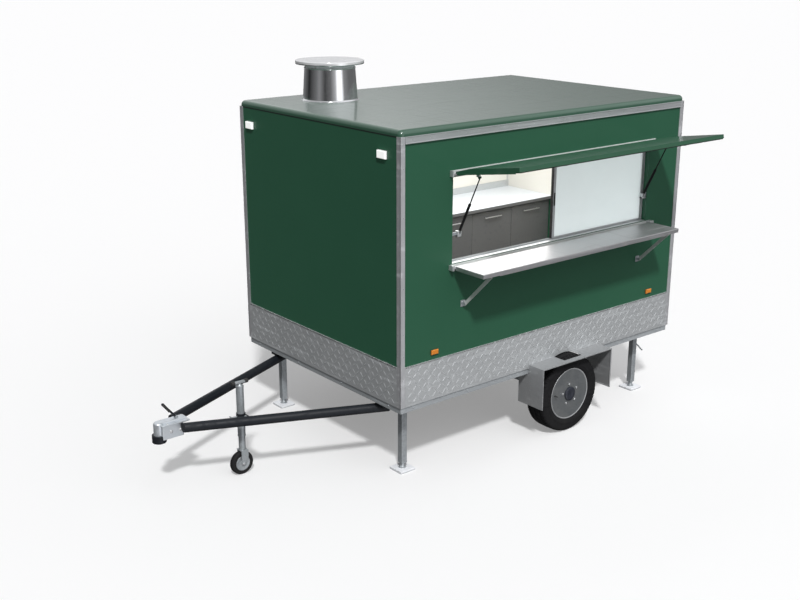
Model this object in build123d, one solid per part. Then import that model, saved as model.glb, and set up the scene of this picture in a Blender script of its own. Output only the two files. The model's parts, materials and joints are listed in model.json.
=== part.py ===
from build123d import *
import math
import os

# ---------------------------------------------------------------------------
# Single-axle kitchen trailer with a serving hatch.
# Millimetres. +X points to the coupling, +Y to the serving side, +Z up.
# The ground is Z = 0 and the body's middle is X = 0, Y = 0 while modelling;
# every part is then moved so that the origin is the bottom centre of the whole.
# ---------------------------------------------------------------------------

# Body shell
BODY_L = 2966.0
BODY_W = 2000.0
WALL_T = 40.0
SILL_BOTTOM_Z = 551.0
SHELL_BOTTOM_Z = 597.0
FLOOR_T = 40.0
ROOF_BOTTOM_Z = 2522.0
ROOF_TOP_Z = 2567.0
ROOF_EDGE_R = 34.0
ROOF_OVERHANG = 4.0
SKIRT_TOP_Z = 901.0
SKIRT_T = 5.0
TRIM_W = 36.0
TRIM_T = 5.0
RAIL_H = 49.0
RAIL_T = 10.0

# Serving hatch opening in the left wall
HATCH_X0 = -1096.0
HATCH_X1 = 1015.0
HATCH_Z0 = 1580.0
HATCH_Z1 = 2200.0

# Hatch flap, hinged above the opening
FLAP_AXIS_Y = 1018.0
FLAP_AXIS_Z = 2228.0
FLAP_OPEN_DEG = 9.2
FLAP_LEN = 645.0
FLAP_T = 30.0
FLAP_HINGE_T = 12.0
FLAP_TAPER = 141.0
FLAP_FRONT_LAP = 12.0
FLAP_REAR_LAP = 50.0
FLAP_START = 19.0
HINGE_R = 13.0

# Gas struts of the flap
STRUT_X = (935.0, -1072.0)
STRUT_FOOT_Y = 980.0
STRUT_FOOT_Z = 1790.0
STRUT_HEAD_S = 165.0
STRUT_HEAD_DROP = 38.0
STRUT_TUBE_R = 10.0
STRUT_TUBE_Z0 = 18.0
STRUT_TUBE_Z1 = 250.0
STRUT_ROD_Z0 = 226.0
STRUT_ROD_R = 4.5
STRUT_EYE_R = 8.0

# Serving shelf and its stays
SHELF_AXIS_Y = 1032.0
SHELF_AXIS_Z = 1556.0
SHELF_OUT_Y = 1335.0
SHELF_TOP_Z = 1572.0
SHELF_T = 31.0
SHELF_START = 15.0
SHELF_HINGE_R = 9.0
STAY_X = (906.0, -1024.0)
STAY_FOOT_Y = 1024.0
STAY_FOOT_Z = 1268.0
STAY_HEAD_Y = 1285.0
STAY_HEAD_Z = 1526.0
STAY_W = 25.0
STAY_T = 6.0

# Window behind the hatch
PANE_Y = (945.0, 930.0)

# Rear door
DOOR_Y0 = -230.0
DOOR_Y1 = 520.0
DOOR_Z1 = 2450.0
DOOR_GAP = 6.0
DOOR_AXIS_X = -BODY_L / 2 - 12.0

# Wheels and axle
WHEEL_X = -180.0
WHEEL_Y = 1005.0
TYRE_R = 317.5
TYRE_W = 195.0
RIM_R = 209.0
RIM_FACE = 84.0
HUB_CAP_R = 55.0
AXLE_DX = 150.0
AXLE_Z = 400.0

# Mudguard
GUARD_X0 = -583.0
GUARD_X1 = 204.0
GUARD_TOP_Z = 627.0
GUARD_BOTTOM_Z = 293.0
GUARD_Y0 = 898.0
GUARD_Y1 = 1162.0
GUARD_T = 4.0
CROWN_GAP = 8.0

# Support legs
LEG_X = (1301.0, -1296.0)
LEG_Y = 798.5
LEG_W = 50.0
LEG_PIVOT_Z = 515.0
LEG_TUBE_BOTTOM_Z = 57.0
PAD_W = 136.0
PAD_T = 16.0

CRANK_Z = 420.0
CRANK_OUT = 110.0
CRANK_DROP = 102.0

# Chassis
MEMBER_Y = 700.0
MEMBER_W = 50.0
MEMBER_Z0 = 537.0
SILL_W = 45.0
SILL_INSET = 5.0

# Drawbar, coupling, jockey wheel
ARM_R = 35.0
ARM_Z = 484.0
ARM_REAR = (1350.0, 700.0)
ARM_APEX_X = 2920.0
ARM_FRONT_X = 2715.0
HOUSING_X0 = 2690.0
COUPLING_W = 120.0
HOUSING_HALF_W = 54.0
COUPLING_BALL_X = 2858.0
NOSE_R = 37.0
CUP_R = 51.0
CUP_Z0 = 384.0
CUP_Z1 = 440.0
SOCKET_R = 25.5
LEVER_X = 2714.0
JOCKEY_X = 2255.0
JOCKEY_Y = 107.0
JOCKEY_TRAIL = 12.0
JOCKEY_WHEEL_R = 90.0
JOCKEY_WHEEL_W = 45.0
JOCKEY_TUBE_R = 28.5
JOCKEY_TUBE_Z0 = 300.0
JOCKEY_TUBE_Z1 = 695.0
JOCKEY_LEG_R = 25.0

# Flue
FLUE_X = 908.0
FLUE_Y = -588.0
FLUE_BASE_R = 216.5
FLUE_TOP_R = 199.5
FLUE_TOP_Z = 2821.0
FLUE_T = 4.0
CAP_R = 269.0
CAP_Z0 = 2852.0
CAP_Z1 = 2875.0

# Kitchen inside
HOOD_Z0 = 2080.0
HOOD_Z1 = 2160.0
COUNTER_TOP_Z = 1515.0
COUNTER_T = 28.0
COUNTER_FRONT_Y = -360.0
COUNTER_LIP = 46.0
COUNTER_X1 = 520.0
SHEET_T = 18.0

# Lamps
REAR_LAMP_D = 34.0

HALF_L = BODY_L / 2
HALF_W = BODY_W / 2
FLOOR_TOP_Z = SHELL_BOTTOM_Z + FLOOR_T
INNER_Y = HALF_W - WALL_T
INNER_X = HALF_L - WALL_T

# The whole part's box, for the move of its origin
FRONT_X = COUPLING_BALL_X + CUP_R
REAR_X = -HALF_L - SKIRT_T - REAR_LAMP_D
FLAP_TIP_Y = FLAP_AXIS_Y + FLAP_LEN * math.cos(math.radians(FLAP_OPEN_DEG))
RIGHT_Y = -GUARD_Y1
SHIFT = Vector(-(FRONT_X + REAR_X) / 2, -(FLAP_TIP_Y + RIGHT_Y) / 2, 0)


def block(x0, x1, y0, y1, z0, z1):
    """A box between two corners."""
    return Pos((x0 + x1) / 2, (y0 + y1) / 2, (z0 + z1) / 2) * Box(x1 - x0, y1 - y0, z1 - z0)


def rod_x(x0, x1, y, z, r):
    """A round bar along X."""
    return Pos((x0 + x1) / 2, y, z) * Rot(0, 90, 0) * Cylinder(r, x1 - x0)


def rod_y(x, y0, y1, z, r):
    """A round bar along Y."""
    return Pos(x, (y0 + y1) / 2, z) * Rot(90, 0, 0) * Cylinder(r, y1 - y0)


def rod_z(x, y, z0, z1, r):
    """A round bar along Z."""
    return Pos(x, y, (z0 + z1) / 2) * Cylinder(r, z1 - z0)


def mirrored_y(shape):
    """The same piece on the other side of the trailer."""
    return mirror(shape, about=Plane.XZ)


def turned_x(shape, y, z, degrees):
    """Turn a piece about an axis along X through (y, z)."""
    return Pos(0, y, z) * Rot(degrees, 0, 0) * Pos(0, -y, -z) * shape


def save(name, *solids):
    """Write one node, moved to the part's own origin."""
    moved = [Pos(SHIFT) * solid for item in solids for solid in item.solids()]
    node = moved[0] if len(moved) == 1 else Compound(children=moved)
    export_step(node, f"parts/{name}.step")


def wheel_space(gap, y0, y1):
    """Room round a tyre, with its floor far below."""
    drum = rod_y(WHEEL_X, y0, y1, TYRE_R, TYRE_R + gap)
    return drum + block(WHEEL_X - TYRE_R - gap, WHEEL_X + TYRE_R + gap, y0, y1, 0, TYRE_R)


# --- body shell -------------------------------------------------------------

def side_wall():
    """Left wall without its hatch; its foot is cut round the tyre."""
    wall = block(-HALF_L, HALF_L, INNER_Y, HALF_W, SHELL_BOTTOM_Z, ROOF_BOTTOM_Z)
    return wall - wheel_space(20, INNER_Y - 1, HALF_W + 1)


def left_wall():
    opening = block(HATCH_X0, HATCH_X1, INNER_Y - 1, HALF_W + 1, HATCH_Z0, HATCH_Z1)
    return side_wall() - opening


def right_wall():
    return mirrored_y(side_wall())


def front_wall():
    return block(INNER_X, HALF_L, -INNER_Y, INNER_Y, SHELL_BOTTOM_Z, ROOF_BOTTOM_Z)


def rear_wall():
    wall = block(-HALF_L, -INNER_X, -INNER_Y, INNER_Y, SHELL_BOTTOM_Z, ROOF_BOTTOM_Z)
    return wall - block(-HALF_L - 1, -INNER_X + 1, DOOR_Y0, DOOR_Y1, FLOOR_TOP_Z, DOOR_Z1)


def roof():
    """Roof panel with a rounded upper edge and a hole under the flue."""
    x, y = HALF_L + ROOF_OVERHANG, HALF_W + ROOF_OVERHANG
    panel = block(-x, x, -y, y, ROOF_BOTTOM_Z, ROOF_TOP_Z)
    panel = fillet(panel.edges().filter_by(Axis.Z), ROOF_EDGE_R)
    panel = fillet(panel.faces().sort_by(Axis.Z)[-1].edges(), ROOF_EDGE_R)
    return panel - rod_z(FLUE_X, FLUE_Y, ROOF_BOTTOM_Z - 1, ROOF_TOP_Z + 1, FLUE_TOP_R - 12)


def floor():
    """Floor panel with a raised box over each tyre."""
    panel = block(-INNER_X, INNER_X, -INNER_Y, INNER_Y, SHELL_BOTTOM_Z, FLOOR_TOP_Z)
    cover_y0 = GUARD_Y0 - 8
    half = TYRE_R + 30
    cover = block(WHEEL_X - half, WHEEL_X + half, cover_y0, INNER_Y, SHELL_BOTTOM_Z, 2 * TYRE_R + 40)
    inner = wheel_space(20, cover_y0 + 6, INNER_Y + 1)
    panel = panel + cover + mirrored_y(cover)
    return panel - inner - mirrored_y(inner)


def sill_rail():
    """The rail that frames the floor, open over the tyres."""
    z0, z1 = SILL_BOTTOM_Z, SHELL_BOTTOM_Z
    x, y = HALF_L - SILL_INSET, HALF_W - SILL_INSET
    ring = block(-x, x, -y, y, z0, z1)
    ring = ring - block(SILL_W - HALF_L, HALF_L - SILL_W, SILL_W - HALF_W, HALF_W - SILL_W, z0 - 1, z1 + 1)
    gap = wheel_space(20, GUARD_Y0, HALF_W + 1)
    return ring - gap - mirrored_y(gap)


def corner_trims():
    """Four angle trims on the upright corners."""
    outer = HALF_L + TRIM_T
    outer_y = HALF_W + TRIM_T
    trims = []
    for sx in (1, -1):
        for sy in (1, -1):
            x0, x1 = sorted((sx * (HALF_L - TRIM_W), sx * outer))
            y0, y1 = sorted((sy * (HALF_W - TRIM_W), sy * outer_y))
            angle = block(x0, x1, y0, y1, SHELL_BOTTOM_Z, ROOF_BOTTOM_Z)
            core = block(-HALF_L, HALF_L, -HALF_W, HALF_W, 0, ROOF_TOP_Z + 1)
            trims.append(angle - core)
    return trims


def roof_rails():
    """Gutter rails along the tops of both long walls."""
    x = HALF_L - TRIM_W
    rail = block(-x, x, HALF_W, HALF_W + RAIL_T, ROOF_BOTTOM_Z - RAIL_H, ROOF_BOTTOM_Z)
    return [rail, mirrored_y(rail)]


def skirt_plates():
    """Tread plates round the foot of the shell, between the corner trims."""
    x = HALF_L - TRIM_W
    y = HALF_W - TRIM_W
    side = block(-x, x, HALF_W, HALF_W + SKIRT_T, SHELL_BOTTOM_Z, SKIRT_TOP_Z)
    side = side - wheel_space(CROWN_GAP, HALF_W - 1, HALF_W + SKIRT_T + 1)
    front = block(HALF_L, HALF_L + SKIRT_T, -y, y, SHELL_BOTTOM_Z, SKIRT_TOP_Z)
    rear = block(-HALF_L - SKIRT_T, -HALF_L, -y, y, SHELL_BOTTOM_Z, SKIRT_TOP_Z)
    door = block(-HALF_L - SKIRT_T - 1, -HALF_L + 1, DOOR_Y0, DOOR_Y1, FLOOR_TOP_Z, SKIRT_TOP_Z + 1)
    return [side, mirrored_y(side), front, rear - door]


# --- flue -------------------------------------------------------------------

def flue():
    """Tapered open tube on the roof."""
    height = FLUE_TOP_Z - ROOF_TOP_Z
    mid_z = (FLUE_TOP_Z + ROOF_TOP_Z) / 2
    outer = Pos(FLUE_X, FLUE_Y, mid_z) * Cone(FLUE_BASE_R, FLUE_TOP_R, height)
    inner = Pos(FLUE_X, FLUE_Y, mid_z) * Cone(FLUE_BASE_R - FLUE_T, FLUE_TOP_R - FLUE_T, height)
    return outer - inner


def flue_cap():
    """Rain cap on three narrow straps."""
    cap = rod_z(FLUE_X, FLUE_Y, CAP_Z0, CAP_Z1, CAP_R)
    cap = fillet(cap.edges().group_by(Axis.Z)[-1], 5)
    strap_r = FLUE_TOP_R - FLUE_T - 1
    for degrees in (20, 140, 260):
        strap = block(strap_r - 3, strap_r, -8, 8, FLUE_TOP_Z - 60, CAP_Z0 + 2)
        cap = cap + Pos(FLUE_X, FLUE_Y, 0) * Rot(0, 0, degrees) * strap
    return cap


# --- hatch ------------------------------------------------------------------

def strut_head():
    """Place of the strut's upper pin, with the flap open."""
    a = math.radians(FLAP_OPEN_DEG)
    y = FLAP_AXIS_Y + STRUT_HEAD_S * math.cos(a) + STRUT_HEAD_DROP * math.sin(a)
    z = FLAP_AXIS_Z + STRUT_HEAD_S * math.sin(a) - STRUT_HEAD_DROP * math.cos(a)
    return y, z


def hatch_flap():
    """Flap drawn level, thinner along its hinge, then turned up to its open angle."""
    x0, x1 = HATCH_X0 - FLAP_REAR_LAP, HATCH_X1 + FLAP_FRONT_LAP
    y0, y1 = FLAP_AXIS_Y + FLAP_START, FLAP_AXIS_Y + FLAP_LEN
    z0, z1 = FLAP_AXIS_Z, FLAP_AXIS_Z + FLAP_T
    outline = Polyline((y0, z0), (y1, z0), (y1, z1), (y0 + FLAP_TAPER, z1), (y0, z0 + FLAP_HINGE_T), close=True)
    panel = Pos(x0, 0, 0) * extrude(make_face(Plane.YZ * outline), x1 - x0)
    panel = fillet(panel.edges().filter_by(Axis.Z), 4)
    head_y = FLAP_AXIS_Y + STRUT_HEAD_S
    head_z = z0 - STRUT_HEAD_DROP
    for x in STRUT_X:
        lug = block(x + 7, x + 11, head_y - 12, head_y + 12, head_z, z0)
        lug = lug + rod_x(x + 7, x + 11, head_y, head_z, 12)
        foot = block(x + 7, x + 28, head_y - 18, head_y + 18, z0 - 3, z0)
        pin = rod_x(x - 6, x + 8, head_y, head_z, 3)
        panel = panel + lug + foot + pin
    return turned_x(panel, FLAP_AXIS_Y, FLAP_AXIS_Z, FLAP_OPEN_DEG)


def hinge_rails():
    """Fixed leaves and knuckles of the flap's and the shelf's hinges."""
    x0, x1 = HATCH_X0 - 58, HATCH_X1 + 30
    upper = block(x0, x1, HALF_W, HALF_W + 8, FLAP_AXIS_Z - 20, FLAP_AXIS_Z + 20)
    upper = upper + block(x0, x1, HALF_W, FLAP_AXIS_Y, FLAP_AXIS_Z - 4, FLAP_AXIS_Z + 4)
    upper = upper + rod_x(x0, x1, FLAP_AXIS_Y, FLAP_AXIS_Z, HINGE_R)
    lower = block(x0, x1, HALF_W, HALF_W + 10, SHELF_AXIS_Z - 14, SHELF_AXIS_Z + 19)
    lower = lower + block(x0, x1, HALF_W, SHELF_AXIS_Y, SHELF_AXIS_Z - 4, SHELF_AXIS_Z + 4)
    lower = lower + rod_x(x0, x1, SHELF_AXIS_Y, SHELF_AXIS_Z, SHELF_HINGE_R)
    return [upper, lower]


def strut_pair(builder):
    """One piece for each gas strut, drawn along +Z from its foot and turned."""
    head_y, head_z = strut_head()
    lean = -math.degrees(math.atan2(head_y - STRUT_FOOT_Y, head_z - STRUT_FOOT_Z))
    length = math.hypot(head_y - STRUT_FOOT_Y, head_z - STRUT_FOOT_Z)
    return [Pos(x, STRUT_FOOT_Y, STRUT_FOOT_Z) * Rot(lean, 0, 0) * builder(length) for x in STRUT_X]


def strut_cylinder(length):
    """Black tube with an eye at its foot; its bore takes the rod."""
    tube = rod_z(0, 0, STRUT_TUBE_Z0, STRUT_TUBE_Z1, STRUT_TUBE_R)
    tube = fillet(tube.edges(), 2)
    tube = tube - rod_z(0, 0, STRUT_TUBE_Z0 + 4, STRUT_TUBE_Z1 + 1, STRUT_ROD_R + 0.3)
    eye = rod_x(-5, 5, 0, 0, STRUT_EYE_R) + block(-3, 3, -5, 5, 0, STRUT_TUBE_Z0 + 1)
    return tube + eye - rod_x(-6, 6, 0, 0, 3.3)


def strut_rod(length):
    """Rod with an eye at its head; the length is from foot pin to head pin."""
    rod = rod_z(0, 0, STRUT_ROD_Z0, length, STRUT_ROD_R)
    eye = rod_x(-5, 5, 0, length, STRUT_EYE_R)
    return rod + eye - rod_x(-6, 6, 0, length, 3.3)


def strut_brackets():
    """Jamb brackets with the pins of the struts' feet, and the stays' wall brackets."""
    brackets = []
    y, z = STRUT_FOOT_Y, STRUT_FOOT_Z
    for x, jamb in zip(STRUT_X, (HATCH_X1, HATCH_X0)):
        inward = 1 if jamb > x else -1
        arm_x0, arm_x1 = sorted((x + inward * 7, jamb))
        foot_x0, foot_x1 = sorted((jamb, jamb - inward * 4))
        pin_x0, pin_x1 = sorted((x - inward * 6, x + inward * 8))
        arm = block(arm_x0, arm_x1, y - 4, y + 4, z - 13, z + 8)
        foot = block(foot_x0, foot_x1, y - 18, y + 14, z - 26, z + 26)
        brackets.append(arm + foot + rod_x(pin_x0, pin_x1, y, z, 3))
    for x in STAY_X:
        plate = block(x - 22, x + 22, HALF_W, HALF_W + 4, STAY_FOOT_Z - 24, STAY_FOOT_Z + 24)
        cheek = block(x + 4, x + 8, HALF_W, STAY_FOOT_Y, STAY_FOOT_Z - 10, STAY_FOOT_Z + 10)
        cheek = cheek + rod_x(x + 4, x + 8, STAY_FOOT_Y, STAY_FOOT_Z, 10)
        brackets.append(plate + cheek + rod_x(x - 5, x + 5, STAY_FOOT_Y, STAY_FOOT_Z, 4))
    return brackets


def serving_shelf():
    x0, x1 = HATCH_X0 - 6, HATCH_X1 + 6
    shelf = block(x0, x1, SHELF_AXIS_Y + SHELF_START, SHELF_OUT_Y, SHELF_TOP_Z - SHELF_T, SHELF_TOP_Z)
    return fillet(shelf.faces().sort_by(Axis.Y)[-1].edges(), 3)


def shelf_stays():
    """Flat bars from the wall up to the underside of the shelf."""
    length = math.hypot(STAY_HEAD_Y - STAY_FOOT_Y, STAY_HEAD_Z - STAY_FOOT_Z)
    lean = -math.degrees(math.atan2(STAY_HEAD_Y - STAY_FOOT_Y, STAY_HEAD_Z - STAY_FOOT_Z))
    bar = block(-STAY_T / 2, STAY_T / 2, -STAY_W / 2, STAY_W / 2, 0, length)
    bar = bar + rod_x(-STAY_T / 2, STAY_T / 2, 0, 0, STAY_W / 2)
    bar = bar + rod_x(-STAY_T / 2, STAY_T / 2, 0, length, STAY_W / 2)
    bar = bar - rod_x(-STAY_T, STAY_T, 0, 0, 4.3)
    return [Pos(x, STAY_FOOT_Y, STAY_FOOT_Z) * Rot(lean, 0, 0) * bar for x in STAY_X]


def window_frame():
    """Frame on the inner face of the wall, round the hatch opening."""
    y0, y1 = INNER_Y - 34, INNER_Y
    outer = block(HATCH_X0 - 30, HATCH_X1 + 30, y0, y1, HATCH_Z0 - 30, HATCH_Z1 + 30)
    inner = block(HATCH_X0, HATCH_X1, y0 - 1, y1 + 1, HATCH_Z0, HATCH_Z1)
    return outer - inner


def pane(y, frame_only):
    """One sliding pane, or its frame, pushed to the rear half of the opening."""
    x0, x1 = HATCH_X0 + 1, -42
    z0, z1 = HATCH_Z0 + 2, HATCH_Z1 - 2
    stile, rail = 26, 14
    glass = block(x0 + 10, x1 - 10, y + 3, y + 7, z0 + 8, z1 - 8)
    if not frame_only:
        return glass
    frame = block(x0, x1, y, y + 10, z0, z1)
    return frame - block(x0 + stile, x1 - stile, y - 1, y + 11, z0 + rail, z1 - rail) - glass


def window_panes():
    return [pane(y, False) for y in PANE_Y]


def pane_frames():
    return [pane(y, True) for y in PANE_Y]


# --- rear door --------------------------------------------------------------

def rear_door():
    y0, y1 = DOOR_Y0 + DOOR_GAP, DOOR_Y1 - DOOR_GAP
    panel = block(-HALF_L, -INNER_X, y0, y1, FLOOR_TOP_Z + DOOR_GAP, DOOR_Z1 - DOOR_GAP)
    for z in (1000, 1600, 2300):
        panel = panel + block(-HALF_L - 4, -HALF_L, y1 - 50, y1 - 4, z - 40, z + 40)
    handle = block(-HALF_L - 34, -HALF_L - 22, y0 + 24, y0 + 144, 1490, 1512)
    stem = rod_x(-HALF_L - 24, -HALF_L, y0 + 40, 1501, 10)
    return panel + handle + stem


def door_hinges():
    hinges = []
    for z in (1000, 1600, 2300):
        leaf = block(-HALF_L - 4, -HALF_L, DOOR_Y1 + 2, DOOR_Y1 + 44, z - 40, z + 40)
        web = block(DOOR_AXIS_X, -HALF_L - 3, DOOR_Y1 - 2, DOOR_Y1 + 6, z - 40, z + 40)
        hinges.append(leaf + web + rod_z(DOOR_AXIS_X, DOOR_Y1, z - 40, z + 40, 6))
    return hinges


def door_kick_plate():
    y0, y1 = DOOR_Y0 + DOOR_GAP, DOOR_Y1 - DOOR_GAP
    return block(-HALF_L - SKIRT_T, -HALF_L, y0, y1, FLOOR_TOP_Z + DOOR_GAP, SKIRT_TOP_Z)


# --- chassis ----------------------------------------------------------------

def chassis_frame():
    """Two long members with cross members between them, and the axle's seats."""
    z0, z1 = MEMBER_Z0, SHELL_BOTTOM_Z
    end_x = HALF_L - SILL_W
    y0, y1 = MEMBER_Y - MEMBER_W / 2, MEMBER_Y + MEMBER_W / 2
    frame = block(-end_x, end_x, y0, y1, z0, z1)
    frame = frame + mirrored_y(frame)
    axle_x = WHEEL_X + AXLE_DX
    for x in (25 - end_x, -700, axle_x, 500, 1000, end_x - 25):
        frame = frame + block(x - 25, x + 25, -MEMBER_Y, MEMBER_Y, z0, z1)
    seat = block(axle_x - 70, axle_x + 70, y0, y1, AXLE_Z + 40, z0)
    return frame + seat + mirrored_y(seat)


def leg_brackets():
    """Two cheeks and a pivot bolt over each leg."""
    brackets = []
    for x in LEG_X:
        for sy in (1, -1):
            y = sy * LEG_Y
            top = block(x - 40, x + 40, y - 34, y + 34, SHELL_BOTTOM_Z - 8, SHELL_BOTTOM_Z)
            for side in (1, -1):
                c0, c1 = sorted((y + side * 28, y + side * 33))
                top = top + block(x - 26, x + 26, c0, c1, LEG_PIVOT_Z - 20, SHELL_BOTTOM_Z)
            brackets.append(top + rod_y(x, y - 33, y + 33, LEG_PIVOT_Z, 8))
    return brackets


def leg(x, y, crank):
    """Square tube with a screw foot, a ground pad and, on the rear legs, a crank."""
    half = LEG_W / 2
    tube = block(x - half, x + half, y - half, y + half, LEG_TUBE_BOTTOM_Z, LEG_PIVOT_Z + 24)
    tube = fillet(tube.edges().filter_by(Axis.Z), 5)
    tube = tube - rod_y(x, y - 40, y + 40, LEG_PIVOT_Z, 8.4)
    screw = rod_z(x, y, PAD_T - 2, LEG_TUBE_BOTTOM_Z + 2, 17)
    pad = block(x - PAD_W / 2, x + PAD_W / 2, y - PAD_W / 2, y + PAD_W / 2, 0, PAD_T)
    pad = fillet(pad.edges().filter_by(Axis.Z), 6)
    if crank:
        down = math.degrees(math.atan2(CRANK_DROP, CRANK_OUT))
        rod = rod_x(-math.hypot(CRANK_DROP, CRANK_OUT), 0, 0, 0, 6)
        tube = tube + Pos(x - half + 3, y, CRANK_Z) * Rot(0, -down, 0) * rod
    return tube + screw + pad


def axle():
    """Torsion axle: cross tube, trailing arms and stub shafts."""
    x = WHEEL_X + AXLE_DX
    tube = block(x - 40, x + 40, -800, 800, AXLE_Z - 40, AXLE_Z + 40)
    arm_angle = math.degrees(math.atan2(AXLE_Z - TYRE_R, AXLE_DX))
    arm_len = math.hypot(AXLE_Z - TYRE_R, AXLE_DX)
    arm = block(-arm_len, 0, 802, 842, -30, 30) + rod_y(0, 795, 842, 0, 38)
    arm = arm + rod_y(-arm_len, 802, 842, 0, 36)
    arm = Pos(x, 0, AXLE_Z) * Rot(0, -arm_angle, 0) * arm
    stub = rod_y(WHEEL_X, 840, 1060, TYRE_R, 17)
    half = arm + stub
    return tube + half + mirrored_y(half)


def tyre():
    """Left tyre: the outline of one half, mirrored and turned round the wheel's shaft."""
    half = TYRE_W / 2
    bead = RIM_R - 13
    lip_w = half - 22
    outline = Polyline((bead, 0), (bead, lip_w), (RIM_R + 3, lip_w))
    outline += Line((RIM_R + 3, lip_w), (RIM_R + 3, half - 10))
    outline += ThreePointArc((RIM_R + 3, half - 10), (RIM_R + 52, half), (TYRE_R - 20, half - 7))
    outline += ThreePointArc((TYRE_R - 20, half - 7), (TYRE_R - 7, half - 15), (TYRE_R - 2, half - 32))
    outline += Line((TYRE_R - 2, half - 32), (TYRE_R, 0))
    outline += Line((TYRE_R, 0), (bead, 0))
    side = revolve(make_face(outline), Axis.Y, 360)
    ring = side + mirror(side, about=Plane.XZ)
    return Pos(WHEEL_X, WHEEL_Y, TYRE_R) * ring


def rim():
    """Left wheel: barrel, flat disc with a rolled edge, drum and hub cap."""
    y = WHEEL_Y
    face = y + RIM_FACE
    seat_r = RIM_R - 13.3
    barrel = rod_y(WHEEL_X, y - RIM_FACE, face - 8, TYRE_R, seat_r)
    barrel = barrel + rod_y(WHEEL_X, y - RIM_FACE, y - RIM_FACE + 7, TYRE_R, RIM_R)
    barrel = barrel - rod_y(WHEEL_X, y - RIM_FACE - 1, face - 8, TYRE_R, seat_r - 6)
    disc = rod_y(WHEEL_X, face - 8, face, TYRE_R, RIM_R)
    disc = fillet(disc.edges(), 2.5)
    drum = rod_y(WHEEL_X, y - 130, y - 40, TYRE_R, 125) + rod_y(WHEEL_X, y - 40, face - 6, TYRE_R, 90)
    cap = rod_y(WHEEL_X, face - 2, face + 12, TYRE_R, HUB_CAP_R)
    cap = fillet(cap.edges().group_by(Axis.Y)[-1], 4)
    bore = rod_y(WHEEL_X, y - 131, face - 12, TYRE_R, 17.5)
    return barrel + disc + drum + cap - bore


def mudguard():
    """Left mudguard: front, top and rear plates with a slot over the tyre's crown."""
    x0, x1 = GUARD_X0, GUARD_X1
    side_y = HALF_W + SKIRT_T
    shell = block(x0, x1, side_y, GUARD_Y1, GUARD_BOTTOM_Z, GUARD_TOP_Z)
    shell = shell + block(x0, x1, GUARD_Y0, side_y, GUARD_BOTTOM_Z, SILL_BOTTOM_Z)
    hollow = block(x0 + GUARD_T, x1 - GUARD_T, GUARD_Y0 - 1, GUARD_Y1 + 1, GUARD_BOTTOM_Z - 1,
                   GUARD_TOP_Z - GUARD_T)
    slot = wheel_space(CROWN_GAP, side_y - 1, WHEEL_Y + TYRE_W / 2 + CROWN_GAP)
    return shell - hollow - slot


# --- drawbar ----------------------------------------------------------------

def arm_y(x):
    """Sideways place of an arm's centre line at x."""
    x0, y0 = ARM_REAR
    return y0 * (ARM_APEX_X - x) / (ARM_APEX_X - x0)


def drawbar():
    """Two round arms that run together at the coupling, and the jockey wheel's bracket."""
    x0, y0 = ARM_REAR
    dx, dy = ARM_APEX_X - x0, -y0
    length = math.hypot(dx, dy)
    turn = math.degrees(math.atan2(dy, dx))
    arm = Pos(x0, y0, ARM_Z) * Rot(0, 0, turn) * rod_x(0, length, 0, 0, ARM_R)
    arm = arm & block(0, ARM_FRONT_X, 0, HALF_W, 0, HALF_W)
    arm = arm - block(HOUSING_X0, COUPLING_BALL_X, 0, HOUSING_HALF_W, 0, HALF_W)
    plate = block(x0 - 30, x0 + 90, 655, 745, ARM_Z + ARM_R - 12, MEMBER_Z0)
    half = arm + plate
    top_z = ARM_Z - ARM_R / 2
    bracket = block(JOCKEY_X - 34, JOCKEY_X + 34, JOCKEY_Y, arm_y(JOCKEY_X), top_z - 12, top_z)
    bracket = bracket + rod_z(JOCKEY_X, JOCKEY_Y, top_z - 26, top_z + 14, JOCKEY_TUBE_R + 6)
    bracket = bracket - rod_z(JOCKEY_X, JOCKEY_Y, 0, 900, JOCKEY_TUBE_R)
    return half + mirrored_y(half) + bracket


def coupling():
    """Pressed housing with a raised spine and a rounded nose over the ball socket."""
    w = COUPLING_W / 2
    lower = block(HOUSING_X0, COUPLING_BALL_X, -HOUSING_HALF_W, HOUSING_HALF_W, 412, 512)
    lower = fillet(lower.edges().filter_by(Axis.Z), 8)
    top = block(HOUSING_X0 - 50, COUPLING_BALL_X + 4, -w, w, 511, 520)
    top = fillet(top.edges().filter_by(Axis.Z), 12)
    spine = block(HOUSING_X0 - 30, COUPLING_BALL_X, -30, 30, 518, 534)
    spine = fillet(spine.faces().sort_by(Axis.Z)[-1].edges().filter_by(Axis.X), 12)
    nose = rod_z(COUPLING_BALL_X, 0, 430, 534, NOSE_R)
    nose = fillet(nose.edges().group_by(Axis.Z)[-1], 14)
    return lower + top + spine + nose - rod_z(COUPLING_BALL_X, 0, 400, CUP_Z1, CUP_R + 1)


def coupling_cup():
    """Ball socket, open below."""
    cup = rod_z(COUPLING_BALL_X, 0, CUP_Z0, CUP_Z1, CUP_R)
    cup = fillet(cup.edges().group_by(Axis.Z)[0], 5)
    mouth_z = CUP_Z0 + 20
    ball = rod_z(COUPLING_BALL_X, 0, CUP_Z0 - 1, mouth_z, SOCKET_R)
    ball = ball + Pos(COUPLING_BALL_X, 0, mouth_z) * Sphere(SOCKET_R)
    return cup - ball


def coupling_lever():
    """Hand lever that leans forward over the housing."""
    run, rise = 109, 130
    lean = math.degrees(math.atan2(run, rise))
    lever = rod_z(0, 0, 8, math.hypot(run, rise), 8)
    lever = fillet(lever.edges().group_by(Axis.Z)[-1], 5)
    return Pos(LEVER_X, 0, 534) * Rot(0, lean, 0) * lever


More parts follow.
